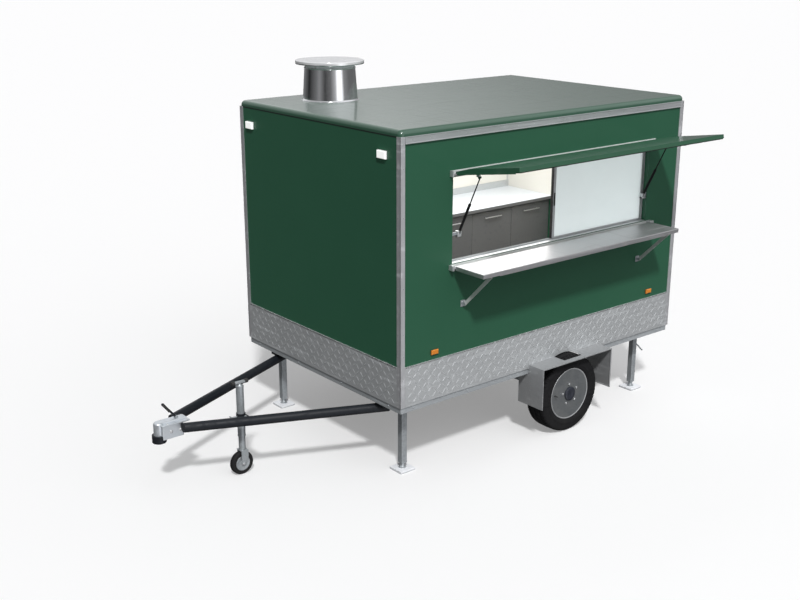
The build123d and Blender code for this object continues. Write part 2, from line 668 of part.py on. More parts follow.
def jockey_tube():
    """Outer tube held in its bracket, with the crank on top."""
    r = JOCKEY_TUBE_R
    tube = rod_z(JOCKEY_X, JOCKEY_Y, JOCKEY_TUBE_Z0, JOCKEY_TUBE_Z1, r)
    tube = fillet(tube.edges().group_by(Axis.Z)[-1], 6)
    tube = tube - rod_z(JOCKEY_X, JOCKEY_Y, JOCKEY_TUBE_Z0 - 1, JOCKEY_TUBE_Z1 - 10, JOCKEY_LEG_R + 0.5)
    crank = block(JOCKEY_X - 68, JOCKEY_X + 68, JOCKEY_Y - 14, JOCKEY_Y + 14, 713, 725)
    crank = fillet(crank.edges().filter_by(Axis.Z), 12)
    return tube + rod_z(JOCKEY_X, JOCKEY_Y, JOCKEY_TUBE_Z1 - 2, 714, 12) + crank


def jockey_leg():
    return rod_z(JOCKEY_X, JOCKEY_Y, 197, 520, JOCKEY_LEG_R)


def fork_cheek(y0, y1):
    """Cheek of the fork, as wide as the tube above and narrow at the wheel's pin."""
    pin_x, pin_z = JOCKEY_X + JOCKEY_TRAIL, JOCKEY_WHEEL_R
    wide, narrow = JOCKEY_TUBE_R, 16
    top_z, waist_z = 190, 140
    outline = Polyline(
        (JOCKEY_X - wide, top_z), (JOCKEY_X + wide, top_z), (JOCKEY_X + wide, waist_z),
        (pin_x + narrow, pin_z), (pin_x - narrow, pin_z), (JOCKEY_X - wide, waist_z), close=True)
    plate = extrude(make_face(Plane.XZ * outline), y1 - y0)
    return Pos(0, y1, 0) * plate + rod_y(pin_x, y0, y1, pin_z, narrow)


def jockey_fork():
    """Fork that turns under the inner tube and carries the small wheel."""
    x, r = JOCKEY_X + JOCKEY_TRAIL, JOCKEY_WHEEL_R
    half = JOCKEY_WHEEL_W / 2 + 5
    y0, y1 = JOCKEY_Y - half - 5, JOCKEY_Y + half + 5
    crown = rod_z(JOCKEY_X, JOCKEY_Y, 187, 195, 30)
    crown = crown + block(JOCKEY_X - JOCKEY_TUBE_R, JOCKEY_X + JOCKEY_TUBE_R, y0, y1, 187, 193)
    fork = crown + fork_cheek(y0, y0 + 5) + fork_cheek(y1 - 5, y1)
    return fork + rod_y(x, y0 - 3, y1 + 3, r, 7)


def jockey_wheel():
    """Small solid wheel on its pin."""
    x, r = JOCKEY_X + JOCKEY_TRAIL, JOCKEY_WHEEL_R
    half = JOCKEY_WHEEL_W / 2
    wheel = rod_y(x, JOCKEY_Y - half, JOCKEY_Y + half, r, r)
    wheel = fillet(wheel.edges(), 12)
    return wheel - rod_y(x, JOCKEY_Y - 40, JOCKEY_Y + 40, r, 7.4)


# --- kitchen and lamps ------------------------------------------------------

def hollow_cabinet(x0, x1, y0, y1, z1, t):
    """Cabinet of sheet on the floor, open at its back and underside."""
    body = block(x0, x1, y0, y1, FLOOR_TOP_Z, z1)
    return body - block(x0 + t, x1 - t, y0 - 1, y1 - t, FLOOR_TOP_Z - 1, z1 - t)


def counter_cabinet():
    return hollow_cabinet(-INNER_X, COUNTER_X1, -INNER_Y, COUNTER_FRONT_Y - COUNTER_LIP,
                          COUNTER_TOP_Z - COUNTER_T, SHEET_T)


def counter_top():
    return block(-INNER_X, COUNTER_X1, -INNER_Y, COUNTER_FRONT_Y, COUNTER_TOP_Z - COUNTER_T, COUNTER_TOP_Z)


def cooking_range():
    front_y = COUNTER_FRONT_Y - 20
    return hollow_cabinet(COUNTER_X1 + 5, INNER_X - 60, -INNER_Y + 5, front_y, COUNTER_TOP_Z, SHEET_T)


def extractor_hood():
    """Sheet hood under the flue, with a round neck up through the roof."""
    x0, x1 = FLUE_X - 360, FLUE_X + 360
    y0, y1 = -INNER_Y + 5, COUNTER_FRONT_Y - 10
    t = 4
    outer = block(x0, x1, y0, y1, HOOD_Z0, HOOD_Z1)
    inner = block(x0 + t, x1 - t, y0 + t, y1 - t, HOOD_Z0 - 1, HOOD_Z1 - t)
    neck_r = FLUE_TOP_R - 12
    neck = rod_z(FLUE_X, FLUE_Y, HOOD_Z1 - t, ROOF_BOTTOM_Z, neck_r)
    return outer + neck - inner - rod_z(FLUE_X, FLUE_Y, HOOD_Z1 - 2 * t, ROOF_BOTTOM_Z + 1, neck_r - t)


def lens(shape, direction):
    """Round the outer edges of a lamp's lens."""
    outer = shape.faces().sort_by(direction)[-1]
    return fillet(outer.edges(), 6)


def front_lamps():
    return [lens(block(HALF_L, HALF_L + 22, y - 45, y + 45, 2358, 2412), Axis.X) for y in (812, -862)]


def side_lamps():
    lamps = []
    for x in (1175, -1192):
        lamp = lens(block(x - 32, x + 32, HALF_W, HALF_W + 16, 941, 975), Axis.Y)
        lamps += [lamp, mirrored_y(lamp)]
    return lamps


def rear_lamps():
    x = -HALF_L - SKIRT_T
    return [block(x - REAR_LAMP_D, x, y - 60, y + 60, 680, 820) for y in (880, -880)]


def number_plate():
    x = -HALF_L - SKIRT_T
    return block(x - 4, x, -760, -400, 700, 810)


def main():
    os.makedirs("parts", exist_ok=True)
    save("chassis_frame", chassis_frame())
    save("sill_rail", sill_rail())
    save("floor", floor())
    save("drawbar", drawbar())
    save("coupling", coupling())
    save("coupling_cup", coupling_cup())
    save("coupling_lever", coupling_lever())
    save("axle", axle())
    save("mudguards", mudguard(), mirrored_y(mudguard()))
    save("front_wall", front_wall())
    save("rear_wall", rear_wall())
    save("left_wall", left_wall())
    save("right_wall", right_wall())
    save("roof", roof())
    save("corner_trims", *corner_trims())
    save("roof_rails", *roof_rails())
    save("skirt_plates", *skirt_plates())
    save("flue", flue())
    save("flue_cap", flue_cap())
    save("window_frame", window_frame())
    save("window_panes", *window_panes())
    save("pane_frames", *pane_frames())
    save("counter_cabinet", counter_cabinet())
    save("counter_top", counter_top())
    save("cooking_range", cooking_range())
    save("extractor_hood", extractor_hood())
    save("front_lamps", *front_lamps())
    save("side_lamps", *side_lamps())
    save("rear_lamps", *rear_lamps())
    save("number_plate", number_plate())
    save("hinge_rails", *hinge_rails())
    save("hatch_brackets", *strut_brackets())
    save("leg_brackets", *leg_brackets())
    save("jockey_tube", jockey_tube())
    save("jockey_leg", jockey_leg())
    save("jockey_fork", jockey_fork())
    save("jockey_wheel", jockey_wheel())
    save("hatch_flap", hatch_flap())
    save("strut_cylinders", *strut_pair(strut_cylinder))
    save("strut_rods", *strut_pair(strut_rod))
    save("serving_shelf", serving_shelf())
    save("shelf_stays", *shelf_stays())
    save("rear_door", rear_door())
    save("door_hinges", *door_hinges())
    save("door_kick_plate", door_kick_plate())
    for name, piece in (("tyre", tyre()), ("rim", rim())):
        save(f"left_{name}", piece)
        save(f"right_{name}", mirrored_y(piece))
    for end, x in zip(("front", "rear"), LEG_X):
        for side, sy in (("left", 1), ("right", -1)):
            save(f"{end}_{side}_leg", leg(x, sy * LEG_Y, crank=end == "rear"))


main()
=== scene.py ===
# %% [markdown]
# # A kitchen trailer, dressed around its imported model
# The trailer is a closed box on one axle: a hatch and a shelf on its left side, a
# flue on its roof, a drawbar in front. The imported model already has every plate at
# its true size. This lesson adds what a workshop adds last: the raised pattern of
# the tread plates, rivets, tyre tread, seals, bolts and paint. We load the model
# first, because every later place is read from it and never typed in twice.

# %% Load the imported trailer
import json
import math

import bmesh
import bpy
from mathutils import Matrix, Vector


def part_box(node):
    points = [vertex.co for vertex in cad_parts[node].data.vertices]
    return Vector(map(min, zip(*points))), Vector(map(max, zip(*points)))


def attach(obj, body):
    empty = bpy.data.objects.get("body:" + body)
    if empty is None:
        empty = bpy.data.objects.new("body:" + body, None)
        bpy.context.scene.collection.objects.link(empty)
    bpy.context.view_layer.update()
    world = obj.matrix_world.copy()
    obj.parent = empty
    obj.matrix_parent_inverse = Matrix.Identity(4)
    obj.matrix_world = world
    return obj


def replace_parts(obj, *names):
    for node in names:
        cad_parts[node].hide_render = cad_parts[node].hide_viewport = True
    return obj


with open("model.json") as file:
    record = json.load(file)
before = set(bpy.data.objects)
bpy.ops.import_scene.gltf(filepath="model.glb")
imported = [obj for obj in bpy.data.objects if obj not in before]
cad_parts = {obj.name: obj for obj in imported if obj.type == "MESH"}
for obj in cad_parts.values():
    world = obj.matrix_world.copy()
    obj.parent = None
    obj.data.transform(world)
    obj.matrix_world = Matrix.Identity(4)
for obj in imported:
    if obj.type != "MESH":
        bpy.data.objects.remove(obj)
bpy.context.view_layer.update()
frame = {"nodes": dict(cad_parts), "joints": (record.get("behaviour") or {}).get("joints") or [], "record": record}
nodes = frame["nodes"]
slot_of = {row["node"]: row["material_slot"] for row in frame["record"]["subparts"]}

# %% [markdown]
# ## The planes everything is measured from
# A body builder marks a few planes and measures from them: the two long walls, the
# two end walls, the underside of the roof and the hatch opening. Here each plane is
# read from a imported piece. The window frame stands 30 mm outside the opening all
# round, so the opening is that frame's box made smaller.

# %% Read the planes
MM = 0.001
FRAME_W = 30 * MM
left_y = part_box("left_wall")[1].y
right_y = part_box("right_wall")[0].y
front_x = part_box("front_wall")[1].x
rear_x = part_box("rear_wall")[0].x
inner_left_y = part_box("left_wall")[0].y
inner_right_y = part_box("right_wall")[1].y
inner_front_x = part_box("front_wall")[0].x
inner_rear_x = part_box("rear_wall")[1].x
ceiling_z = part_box("roof")[0].z
floor_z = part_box("counter_cabinet")[0].z
frame_lo, frame_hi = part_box("window_frame")
hatch_x0, hatch_x1 = frame_lo.x + FRAME_W, frame_hi.x - FRAME_W
hatch_z0, hatch_z1 = frame_lo.z + FRAME_W, frame_hi.z - FRAME_W
middle = Vector(((front_x + rear_x) / 2, (left_y + right_y) / 2, 0))
print("body length and width:", round(front_x - rear_x, 3), round(left_y - right_y, 3))

# %% [markdown]
# ## The camera
# The trailer is seen from its left front corner, from a little above eye level. The
# lens is long, about 50 mm on a full frame sensor, so the box keeps its square look.
# Yaw and pitch are turned into a direction and the camera is aimed along it.

# %% Place the camera
CAMERA_OFFSET = Vector((6.0951, 6.6848, 3.7029))
CAMERA_YAW = math.radians(230.972)
CAMERA_PITCH = math.radians(-17.427)
LENS = 50.38

camera = bpy.data.objects.new("camera", bpy.data.cameras.new("camera"))
bpy.context.scene.collection.objects.link(camera)
aim = Vector((math.cos(CAMERA_YAW) * math.cos(CAMERA_PITCH),
              math.sin(CAMERA_YAW) * math.cos(CAMERA_PITCH), math.sin(CAMERA_PITCH)))
camera.location = middle + CAMERA_OFFSET
camera.rotation_mode = "QUATERNION"
camera.rotation_quaternion = aim.to_track_quat("-Z", "Y")
camera.data.lens = LENS
camera.data.sensor_width = 36.0
camera.data.clip_end = 500.0
bpy.context.scene.camera = camera
print("camera stands at", [round(v, 2) for v in camera.location])

# %% [markdown]
# ## A helper for node trees
# Shader trees are long to write, because each node takes one line to make and one
# for every socket. This helper makes a node, sets its options, and for each named
# input either links a socket or stores a value.

# %% The helper
def add(tree, kind, links=(), **settings):
    """A node with its settings; links is (input name, socket or value) pairs."""
    node = tree.nodes.new("ShaderNode" + kind)
    for name, value in settings.items():
        setattr(node, name, value)
    for name, value in links:
        if isinstance(value, bpy.types.NodeSocket):
            tree.links.new(value, node.inputs[name])
        else:
            node.inputs[name].default_value = value
    return node


print("add() is ready")

# %% [markdown]
# ## A pale studio
# The floor is one large pale sheet, so that it also makes the background. One sun
# with a wide disc, high on the left front, gives the soft edged shadow. Polished
# metal shows whatever stands round it, and a white sheet all round would turn it into
# white paint, so mirrors and walls don't see the floor: they see the room behind it.
# A faint glow of its own keeps the sheet white and its shadows light, as lit paper is.

# %% Build the floor
FLOOR_HALF = 150.0
FLOOR_GREY = (0.72, 0.72, 0.72, 1)
FLOOR_GLOW = 0.25


def studio_floor():
    material = bpy.data.materials.new("studio floor")
    material.use_nodes = True
    shader = material.node_tree.nodes["Principled BSDF"]
    shader.inputs["Base Color"].default_value = FLOOR_GREY
    shader.inputs["Emission Color"].default_value = (1, 1, 1, 1)
    shader.inputs["Emission Strength"].default_value = FLOOR_GLOW
    shader.inputs["Roughness"].default_value = 0.9
    shader.inputs["Specular IOR Level"].default_value = 0.0
    mesh = bpy.data.meshes.new("studio_floor")
    corners = [(x * FLOOR_HALF, y * FLOOR_HALF, 0) for x, y in ((-1, -1), (1, -1), (1, 1), (-1, 1))]
    mesh.from_pydata(corners, [], [(0, 1, 2, 3)])
    mesh.materials.append(material)
    floor = bpy.data.objects.new("studio_floor", mesh)
    floor.visible_glossy = False
    floor.visible_diffuse = False
    bpy.context.scene.collection.objects.link(floor)
    return floor


print("made", studio_floor().name)

# %% Hang the sun
SUN_TOWARDS = Vector((0.379, 0.553, 0.742))
SUN_STRENGTH = 2.35
SUN_WIDTH = math.radians(5)

sun = bpy.data.objects.new("sun", bpy.data.lights.new("sun", "SUN"))
sun.data.energy = SUN_STRENGTH
sun.data.angle = SUN_WIDTH
sun.rotation_mode = "QUATERNION"
sun.rotation_quaternion = SUN_TOWARDS.to_track_quat("Z", "Y")
bpy.context.scene.collection.objects.link(sun)
print("sun stands", round(math.degrees(math.asin(SUN_TOWARDS.z))), "degrees high")

# %% [markdown]
# The room is a world shader with two faces. Matt surfaces get a soft light, brighter
# from the serving side and from above. Glossy surfaces see a grey room with upright
# light panels in it, given as a colour ramp round the compass: these make the
# streaks down the flue. Above head height the panels join into a ceiling light. The
# Light Path node tells the two kinds of ray apart.

# %% Paint the room
PANELS = ((0.00, 0.14), (0.19, 0.14), (0.23, 0.19), (0.37, 0.02), (0.48, 0.15), (0.52, 0.25),
          (0.59, 0.05), (0.66, 0.14), (0.715, 0.45), (0.745, 1.55), (0.785, 1.50), (0.82, 0.25), (0.90, 0.13))
CEILING = ((0.00, 0.50), (0.09, 0.30), (0.117, 0.52), (0.145, 1.05), (0.22, 0.95), (0.34, 0.40),
           (0.60, 0.55), (0.75, 0.90))
SOFT = ((0.0, 0.42), (0.25, 0.30), (0.5, 0.06), (0.62, 0.42), (0.75, 1.02), (0.88, 0.74))
CEILING_FROM, CEILING_TO = 0.05, 0.22
GROUND_LIGHT = 0.21
COOL = 1.02


def compass_ramp(tree, direction, stops):
    """Grey values round the compass, from west through south, east and north."""
    ramp = add(tree, "ValToRGB", [("Fac", direction)]).color_ramp
    while len(ramp.elements) < len(stops):
        ramp.elements.new(0.5)
    for element, (place, value) in zip(ramp.elements, stops):
        element.position = place
        element.color = (value, value, value * COOL, 1)
    return tree.nodes[-1].outputs["Color"]


def studio_room():
    world = bpy.data.worlds.new("studio")
    world.use_nodes = True
    tree = world.node_tree
    where = add(tree, "TexCoord")
    split = add(tree, "SeparateXYZ", [(0, where.outputs["Generated"])])
    turn = add(tree, "Math", [(0, split.outputs["Y"]), (1, split.outputs["X"])], operation="ARCTAN2")
    round_ = add(tree, "MapRange",
                 [("Value", turn.outputs[0]), ("From Min", -math.pi), ("From Max", math.pi)])
    high = add(tree, "MapRange", [("Value", split.outputs["Z"]), ("From Min", CEILING_FROM),
                                  ("From Max", CEILING_TO)])
    mirrored = add(tree, "Mix", [(0, high.outputs[0]), (6, compass_ramp(tree, round_.outputs[0], PANELS)),
                                 (7, compass_ramp(tree, round_.outputs[0], CEILING))], data_type="RGBA")
    above = add(tree, "MapRange", [("Value", split.outputs["Z"]), ("From Min", -0.05), ("From Max", 0.05)])
    ground = (GROUND_LIGHT, GROUND_LIGHT, GROUND_LIGHT, 1)
    soft = add(tree, "Mix", [(0, above.outputs[0]), (6, ground),
                             (7, compass_ramp(tree, round_.outputs[0], SOFT))], data_type="RGBA")
    ray = add(tree, "LightPath")
    seen = add(tree, "Mix",
               [(0, ray.outputs["Is Glossy Ray"]), (6, soft.outputs[2]), (7, mirrored.outputs[2])],
               data_type="RGBA")
    tree.links.new(seen.outputs[2], tree.nodes["Background"].inputs["Color"])
    return world


# %% Hang the room
bpy.context.scene.world = studio_room()
bpy.context.scene.view_settings.view_transform = "Standard"
print("panels in the room:", len(PANELS))

# %% [markdown]
# ## Effects that several finishes share
# Old paint, zinc and aluminium look different, but time does the same things to all
# of them: edges are rubbed bare, the surface has a fine grain, and dust from the
# road settles low down. Each effect is one node group with named inputs, so a
# material only says how much of it there is. A group's sockets belong to its
# interface, so a second helper makes the empty group with its sockets.

# %% A helper for groups
def new_group(name, inputs, outputs):
    """An empty group; inputs and outputs are (name, kind, start value)."""
    tree = bpy.data.node_groups.new(name, "ShaderNodeTree")
    for socket_name, kind, start in inputs:
        socket = tree.interface.new_socket(socket_name, in_out="INPUT", socket_type="NodeSocket" + kind)
        socket.default_value = start
    for socket_name, kind in outputs:
        tree.interface.new_socket(socket_name, in_out="OUTPUT", socket_type="NodeSocket" + kind)
    return tree, tree.nodes.new("NodeGroupInput"), tree.nodes.new("NodeGroupOutput")


print("new_group() is ready")

# %% [markdown]
# ### Worn edges
# Handling polishes every outer edge. Blender's Bevel node gives the normal that a
# rounded edge would have. Where it differs from the true normal we are near an edge,
# and that difference, broken up by noise, is the wear mask. The same rounded normal
# is handed on, so that sharp plates catch a thin line of light along their edges.

# %% The worn edges group
def worn_edges_group():
    tree, given, out = new_group(
        "worn edges", [("Radius", "Float", 0.003), ("Amount", "Float", 0.5), ("Patch Size", "Float", 40.0)],
        [("Mask", "Float"), ("Normal", "Vector")])
    bevel = add(tree, "Bevel", [("Radius", given.outputs["Radius"])], samples=4)
    true = add(tree, "NewGeometry")
    same = add(tree, "VectorMath", [(0, bevel.outputs[0]), (1, true.outputs["Normal"])],
               operation="DOT_PRODUCT")
    off = add(tree, "MapRange", [("Value", same.outputs["Value"]), ("From Min", 0.999), ("From Max", 0.86)])
    where = add(tree, "TexCoord")
    noise = add(tree, "TexNoise",
                [("Vector", where.outputs["Object"]), ("Scale", given.outputs["Patch Size"]),
                                   ("Detail", 5.0), ("Roughness", 0.65)])
    spots = add(tree, "MapRange", [("Value", noise.outputs["Fac"]), ("From Min", 0.42), ("From Max", 0.62)])
    both = add(tree, "Math", [(0, off.outputs[0]), (1, spots.outputs[0])], operation="MULTIPLY")
    much = add(tree, "Math", [(0, both.outputs[0]), (1, given.outputs["Amount"])], operation="MULTIPLY")
    tree.links.new(much.outputs[0], out.inputs["Mask"])
    tree.links.new(bevel.outputs[0], out.inputs["Normal"])
    return tree


WORN_EDGES = worn_edges_group()
print("group:", WORN_EDGES.name)

# %% [markdown]
# ### Grain
# Rolled sheet has lines along the rolling direction, sprayed paint has the skin of
# an orange, cast rubber has a fine speckle. All are noise, stretched more or less
# along one axis. The group takes the stretch as a vector and gives a value for
# colour and roughness and the same value as a height.

# %% The grain group
def grain_group():
    tree, given, out = new_group(
        "grain", [("Scale", "Float", 60.0), ("Stretch", "Vector", (1, 1, 1)), ("Detail", "Float", 4.0)],
        [("Value", "Float"), ("Cloud", "Float")])
    where = add(tree, "TexCoord")
    longer = add(tree, "VectorMath", [(0, where.outputs["Object"]), (1, given.outputs["Stretch"])],
                 operation="MULTIPLY")
    fine = add(tree, "TexNoise", [("Vector", longer.outputs[0]), ("Scale", given.outputs["Scale"]),
                                  ("Detail", given.outputs["Detail"]), ("Roughness", 0.6)])
    wide = add(tree, "TexNoise", [("Vector", where.outputs["Object"]), ("Scale", 2.3), ("Detail", 3.0)])
    tree.links.new(fine.outputs["Fac"], out.inputs["Value"])
    tree.links.new(wide.outputs["Fac"], out.inputs["Cloud"])
    return tree


GRAIN = grain_group()
print("group:", GRAIN.name)

# %% [markdown]
# ### Road dust
# A towed trailer throws dust at its own lower half, and dust also lies on whatever
# faces up. The mask is the larger of the two, thinned by noise. It reads the piece's
# own coordinates, so that it stays on the piece when a leg or a flap swings.

# %% The road dust group
DUST_TOP_Z = 1.1


def road_dust_group():
    tree, given, out = new_group("road dust", [("Amount", "Float", 0.3), ("Fades At", "Float", DUST_TOP_Z)],
                                 [("Mask", "Float")])
    where = add(tree, "TexCoord")
    height = add(tree, "SeparateXYZ", [(0, where.outputs["Object"])])
    low = add(tree, "MapRange", [("Value", height.outputs["Z"]), ("From Min", given.outputs["Fades At"]),
                                 ("From Max", 0.0)])
    facing = add(tree, "SeparateXYZ", [(0, where.outputs["Normal"])])
    lying = add(tree, "MapRange", [("Value", facing.outputs["Z"]), ("From Min", 0.6), ("From Max", 1.0),
                                   ("To Max", 0.35)])
    most = add(tree, "Math", [(0, low.outputs[0]), (1, lying.outputs[0])], operation="MAXIMUM")
    noise = add(tree, "TexNoise", [("Vector", where.outputs["Object"]), ("Scale", 7.0), ("Detail", 8.0),
                                   ("Roughness", 0.7)])
    thin = add(tree, "MapRange", [("Value", noise.outputs["Fac"]), ("From Min", 0.35), ("From Max", 0.75)])
    both = add(tree, "Math", [(0, most.outputs[0]), (1, thin.outputs[0])], operation="MULTIPLY")
    much = add(tree, "Math", [(0, both.outputs[0]), (1, given.outputs["Amount"])], operation="MULTIPLY")
    tree.links.new(much.outputs[0], out.inputs["Mask"])
    return tree


ROAD_DUST = road_dust_group()
print("group:", ROAD_DUST.name)

# %% [markdown]
# ### Fine scratches
# Shelves, worktops and wheel discs are wiped and knocked, which leaves thin lines in
# many directions. Two noises squeezed almost to lines and cut off sharply give them.
# The mask is meant for roughness and a trace of height, never for strong colour.

# %% The scratches group
def scratches_group():
    tree, given, out = new_group("scratches", [("Scale", "Float", 30.0), ("Amount", "Float", 0.5)],
                                 [("Mask", "Float")])
    where = add(tree, "TexCoord")
    layers = []
    for turn, squeeze in ((0.5, (0.06, 1.0, 1.0)), (-0.9, (1.0, 0.08, 1.0))):
        mapping = add(tree, "Mapping", [("Vector", where.outputs["Object"]), ("Rotation", (turn, turn, turn)),
                                        ("Scale", squeeze)])
        noise = add(tree, "TexNoise", [("Vector", mapping.outputs[0]), ("Scale", given.outputs["Scale"]),
                                       ("Detail", 2.0)])
        cut = add(tree, "MapRange", [("Value", noise.outputs["Fac"]), ("From Min", 0.60), ("From Max", 0.66)])
        layers.append(cut.outputs[0])
    both = add(tree, "Math", [(0, layers[0]), (1, layers[1])], operation="MAXIMUM")
    much = add(tree, "Math", [(0, both.outputs[0]), (1, given.outputs["Amount"])], operation="MULTIPLY")
    tree.links.new(much.outputs[0], out.inputs["Mask"])
    return tree


SCRATCHES = scratches_group()
print("group:", SCRATCHES.name)

# %% [markdown]
# ## One way to build a finish
# Every solid finish of the trailer is built the same way: a base colour that drifts a
# little, bare material along the edges, dust on top, roughness that follows the
# grain and the scratches, and a bump from the grain on the rounded normal. So one
# function builds them all, and each finish below is a short list of its own values.
# Numbers that are the same all over a surface go straight on the shader.

# %% The finish builder
DUST_COLOUR = (0.42, 0.40, 0.36, 1)
finishes = {}


def group_node(tree, group, links):
    node = add(tree, "Group", node_tree=group)
    for name, value in links:
        node.inputs[name].default_value = value
    return node


def mixed(tree, mask, low, high):
    """A colour that goes from low to high with the mask; each is a colour or a socket."""
    return add(tree, "Mix", [(0, mask), (6, low), (7, high)], data_type="RGBA").outputs[2]


def finish(name, colour, drift, rough, metallic=0.0, bare=None, wear=0.4, grain=60.0, stretch=(1, 1, 1),
           height=0.0002, dust=0.25, scratch=0.2, coat=0.0, specular=0.5, edge=0.002, fades=DUST_TOP_Z):
    """A solid finish; rough is its lowest and highest roughness."""
    material = bpy.data.materials.new(name)
    material.use_nodes = True
    tree = material.node_tree
    shader = tree.nodes["Principled BSDF"]
    edges = group_node(tree, WORN_EDGES, [("Radius", edge), ("Amount", wear)])
    skin = group_node(tree, GRAIN, [("Scale", grain), ("Stretch", stretch)])
    marks = group_node(tree, SCRATCHES, [("Amount", scratch)])
    dirt = group_node(tree, ROAD_DUST, [("Amount", dust), ("Fades At", fades)])
    base = mixed(tree, skin.outputs["Cloud"], (*colour, 1), (*drift, 1))
    worn = mixed(tree, edges.outputs["Mask"], base, (*(bare or colour), 1))
    dusty = mixed(tree, dirt.outputs["Mask"], worn, DUST_COLOUR)
    tree.links.new(dusty, shader.inputs["Base Color"])
    rougher = add(tree, "MapRange", [("Value", skin.outputs["Value"]), ("From Min", 0.3), ("From Max", 0.7),
                                     ("To Min", rough[0]), ("To Max", rough[1])])
    marked = add(tree, "Math", [(0, rougher.outputs[0]), (1, marks.outputs["Mask"])], operation="ADD")
    dulled = add(tree, "Math", [(0, marked.outputs[0]), (1, dirt.outputs["Mask"])], operation="ADD",
                 use_clamp=True)
    tree.links.new(dulled.outputs[0], shader.inputs["Roughness"])
    bump = add(tree, "Bump", [("Height", skin.outputs["Value"]), ("Distance", height),
                              ("Normal", edges.outputs["Normal"])])
    tree.links.new(bump.outputs[0], shader.inputs["Normal"])
    shader.inputs["Metallic"].default_value = metallic
    shader.inputs["Coat Weight"].default_value = coat
    shader.inputs["Coat Roughness"].default_value = 0.08
    shader.inputs["Specular IOR Level"].default_value = specular
    finishes[name] = material
    return material


print("finish() is ready")

# %% [markdown]
# ## The finishes
# Body paint first. It is a deep green enamel, sprayed over flat panels: smooth, but
# with a faint orange skin that blurs what it mirrors. The roof is the same paint, a
# little flatter because sun and rain have been at it. A thin clear coat on top gives
# the sharp part of the gloss, the rough layer below gives the soft part.

# %% Green enamel
GREEN = (0.025, 0.104, 0.058)
finish("green_wall", GREEN, (0.029, 0.114, 0.064), (0.30, 0.42), bare=(0.06, 0.16, 0.10), wear=0.35,
       grain=420.0, height=0.00006, dust=0.04, scratch=0.06, coat=0.12, specular=0.22)
finish("green_flap", (0.026, 0.100, 0.055), (0.030, 0.110, 0.060), (0.28, 0.40), bare=(0.07, 0.18, 0.11),
       wear=0.4, grain=420.0, height=0.00006, dust=0.05, scratch=0.06, coat=0.6, specular=0.5)
finish("green_roof", (0.024, 0.088, 0.050), (0.030, 0.096, 0.060), (0.30, 0.46), bare=(0.07, 0.18, 0.12),
       wear=0.3, grain=260.0, height=0.0001, dust=0.10, scratch=0.05, coat=0.85, specular=0.6, edge=0.001)
print("greens:", len(finishes))

# %% [markdown]
# Aluminium comes as drawn profiles and as rolled plate. Drawn trims are stretched
# along their length, so their grain is stretched the same way; the rails, the tread
# plates and the mudguards are duller. All are metals, so colour sits in the
# reflection and roughness decides how bright they look.

# %% Aluminium profiles and plates
finish("aluminium_trim", (0.72, 0.73, 0.75), (0.66, 0.67, 0.69), (0.34, 0.48), metallic=0.75,
       bare=(0.80, 0.80, 0.80), grain=180.0, stretch=(1, 1, 0.04), height=0.0001, dust=0.15)
finish("aluminium_rail", (0.60, 0.62, 0.63), (0.53, 0.55, 0.56), (0.36, 0.52), metallic=0.75,
       bare=(0.75, 0.75, 0.75), grain=180.0, stretch=(0.04, 1, 1), height=0.0001, dust=0.15)
finish("grey_rail", (0.50, 0.53, 0.55), (0.44, 0.47, 0.49), (0.42, 0.58), metallic=0.55,
       bare=(0.6, 0.6, 0.6), grain=160.0, stretch=(0.05, 0.05, 1), height=0.0001, dust=0.2)
finish("tread_plate", (0.60, 0.62, 0.63), (0.53, 0.55, 0.56), (0.40, 0.56), metallic=0.6,
       bare=(0.72, 0.73, 0.74), wear=0.25, grain=220.0, height=0.00015, dust=0.12)
finish("mudguard_sheet", (0.45, 0.46, 0.47), (0.39, 0.40, 0.41), (0.36, 0.50), metallic=0.5,
       bare=(0.75, 0.75, 0.76), wear=0.7, grain=140.0, height=0.00015, dust=0.2)
finish("window_alloy", (0.60, 0.62, 0.63), (0.54, 0.56, 0.57), (0.34, 0.48), metallic=0.6,
       bare=(0.78, 0.78, 0.78), grain=200.0, stretch=(0.05, 1, 0.05), height=0.0001, dust=0.1)
# A paler, almost matt copy of the alloy: painted light, so that the shelf stays and hinge rails read bright
# although they sit in shade.
finish("pale_alloy", (0.66, 0.68, 0.67), (0.60, 0.62, 0.61), (0.36, 0.50), metallic=0.2,
       bare=(0.78, 0.78, 0.78), grain=200.0, height=0.0001, dust=0.05)
finish("coupling_metal", (0.70, 0.74, 0.78), (0.62, 0.66, 0.70), (0.30, 0.46), metallic=0.75,
       bare=(0.8, 0.8, 0.8), wear=0.8, grain=320.0, height=0.0004, dust=0.2)
print("aluminium finishes:", len(finishes))

# %% [markdown]
# Hot dip zinc is on the legs, the brackets and the jockey wheel's tube. Real zinc
# freezes into flat crystals, the spangle, which a Voronoi pattern copies well: each
# cell gets its own grey. So this finish starts as the others do and then has its
# base colour mixed with the cells.

# %% Zinc
def spangled(name, amount, size):
    """Lay the crystal pattern of zinc over a finish's base colour."""
    tree = finishes[name].node_tree
    shader = tree.nodes["Principled BSDF"]
    base = shader.inputs["Base Color"].links[0].from_socket
    where = add(tree, "TexCoord")
    cells = add(tree, "TexVoronoi", [("Vector", where.outputs["Object"]), ("Scale", size)])
    grey = add(tree, "HueSaturation", [("Color", cells.outputs["Color"]), ("Saturation", 0.0)])
    result = add(tree, "Mix", [(0, amount), (6, base), (7, grey.outputs[0])], data_type="RGBA",
                 blend_type="OVERLAY")
    tree.links.new(result.outputs[2], shader.inputs["Base Color"])


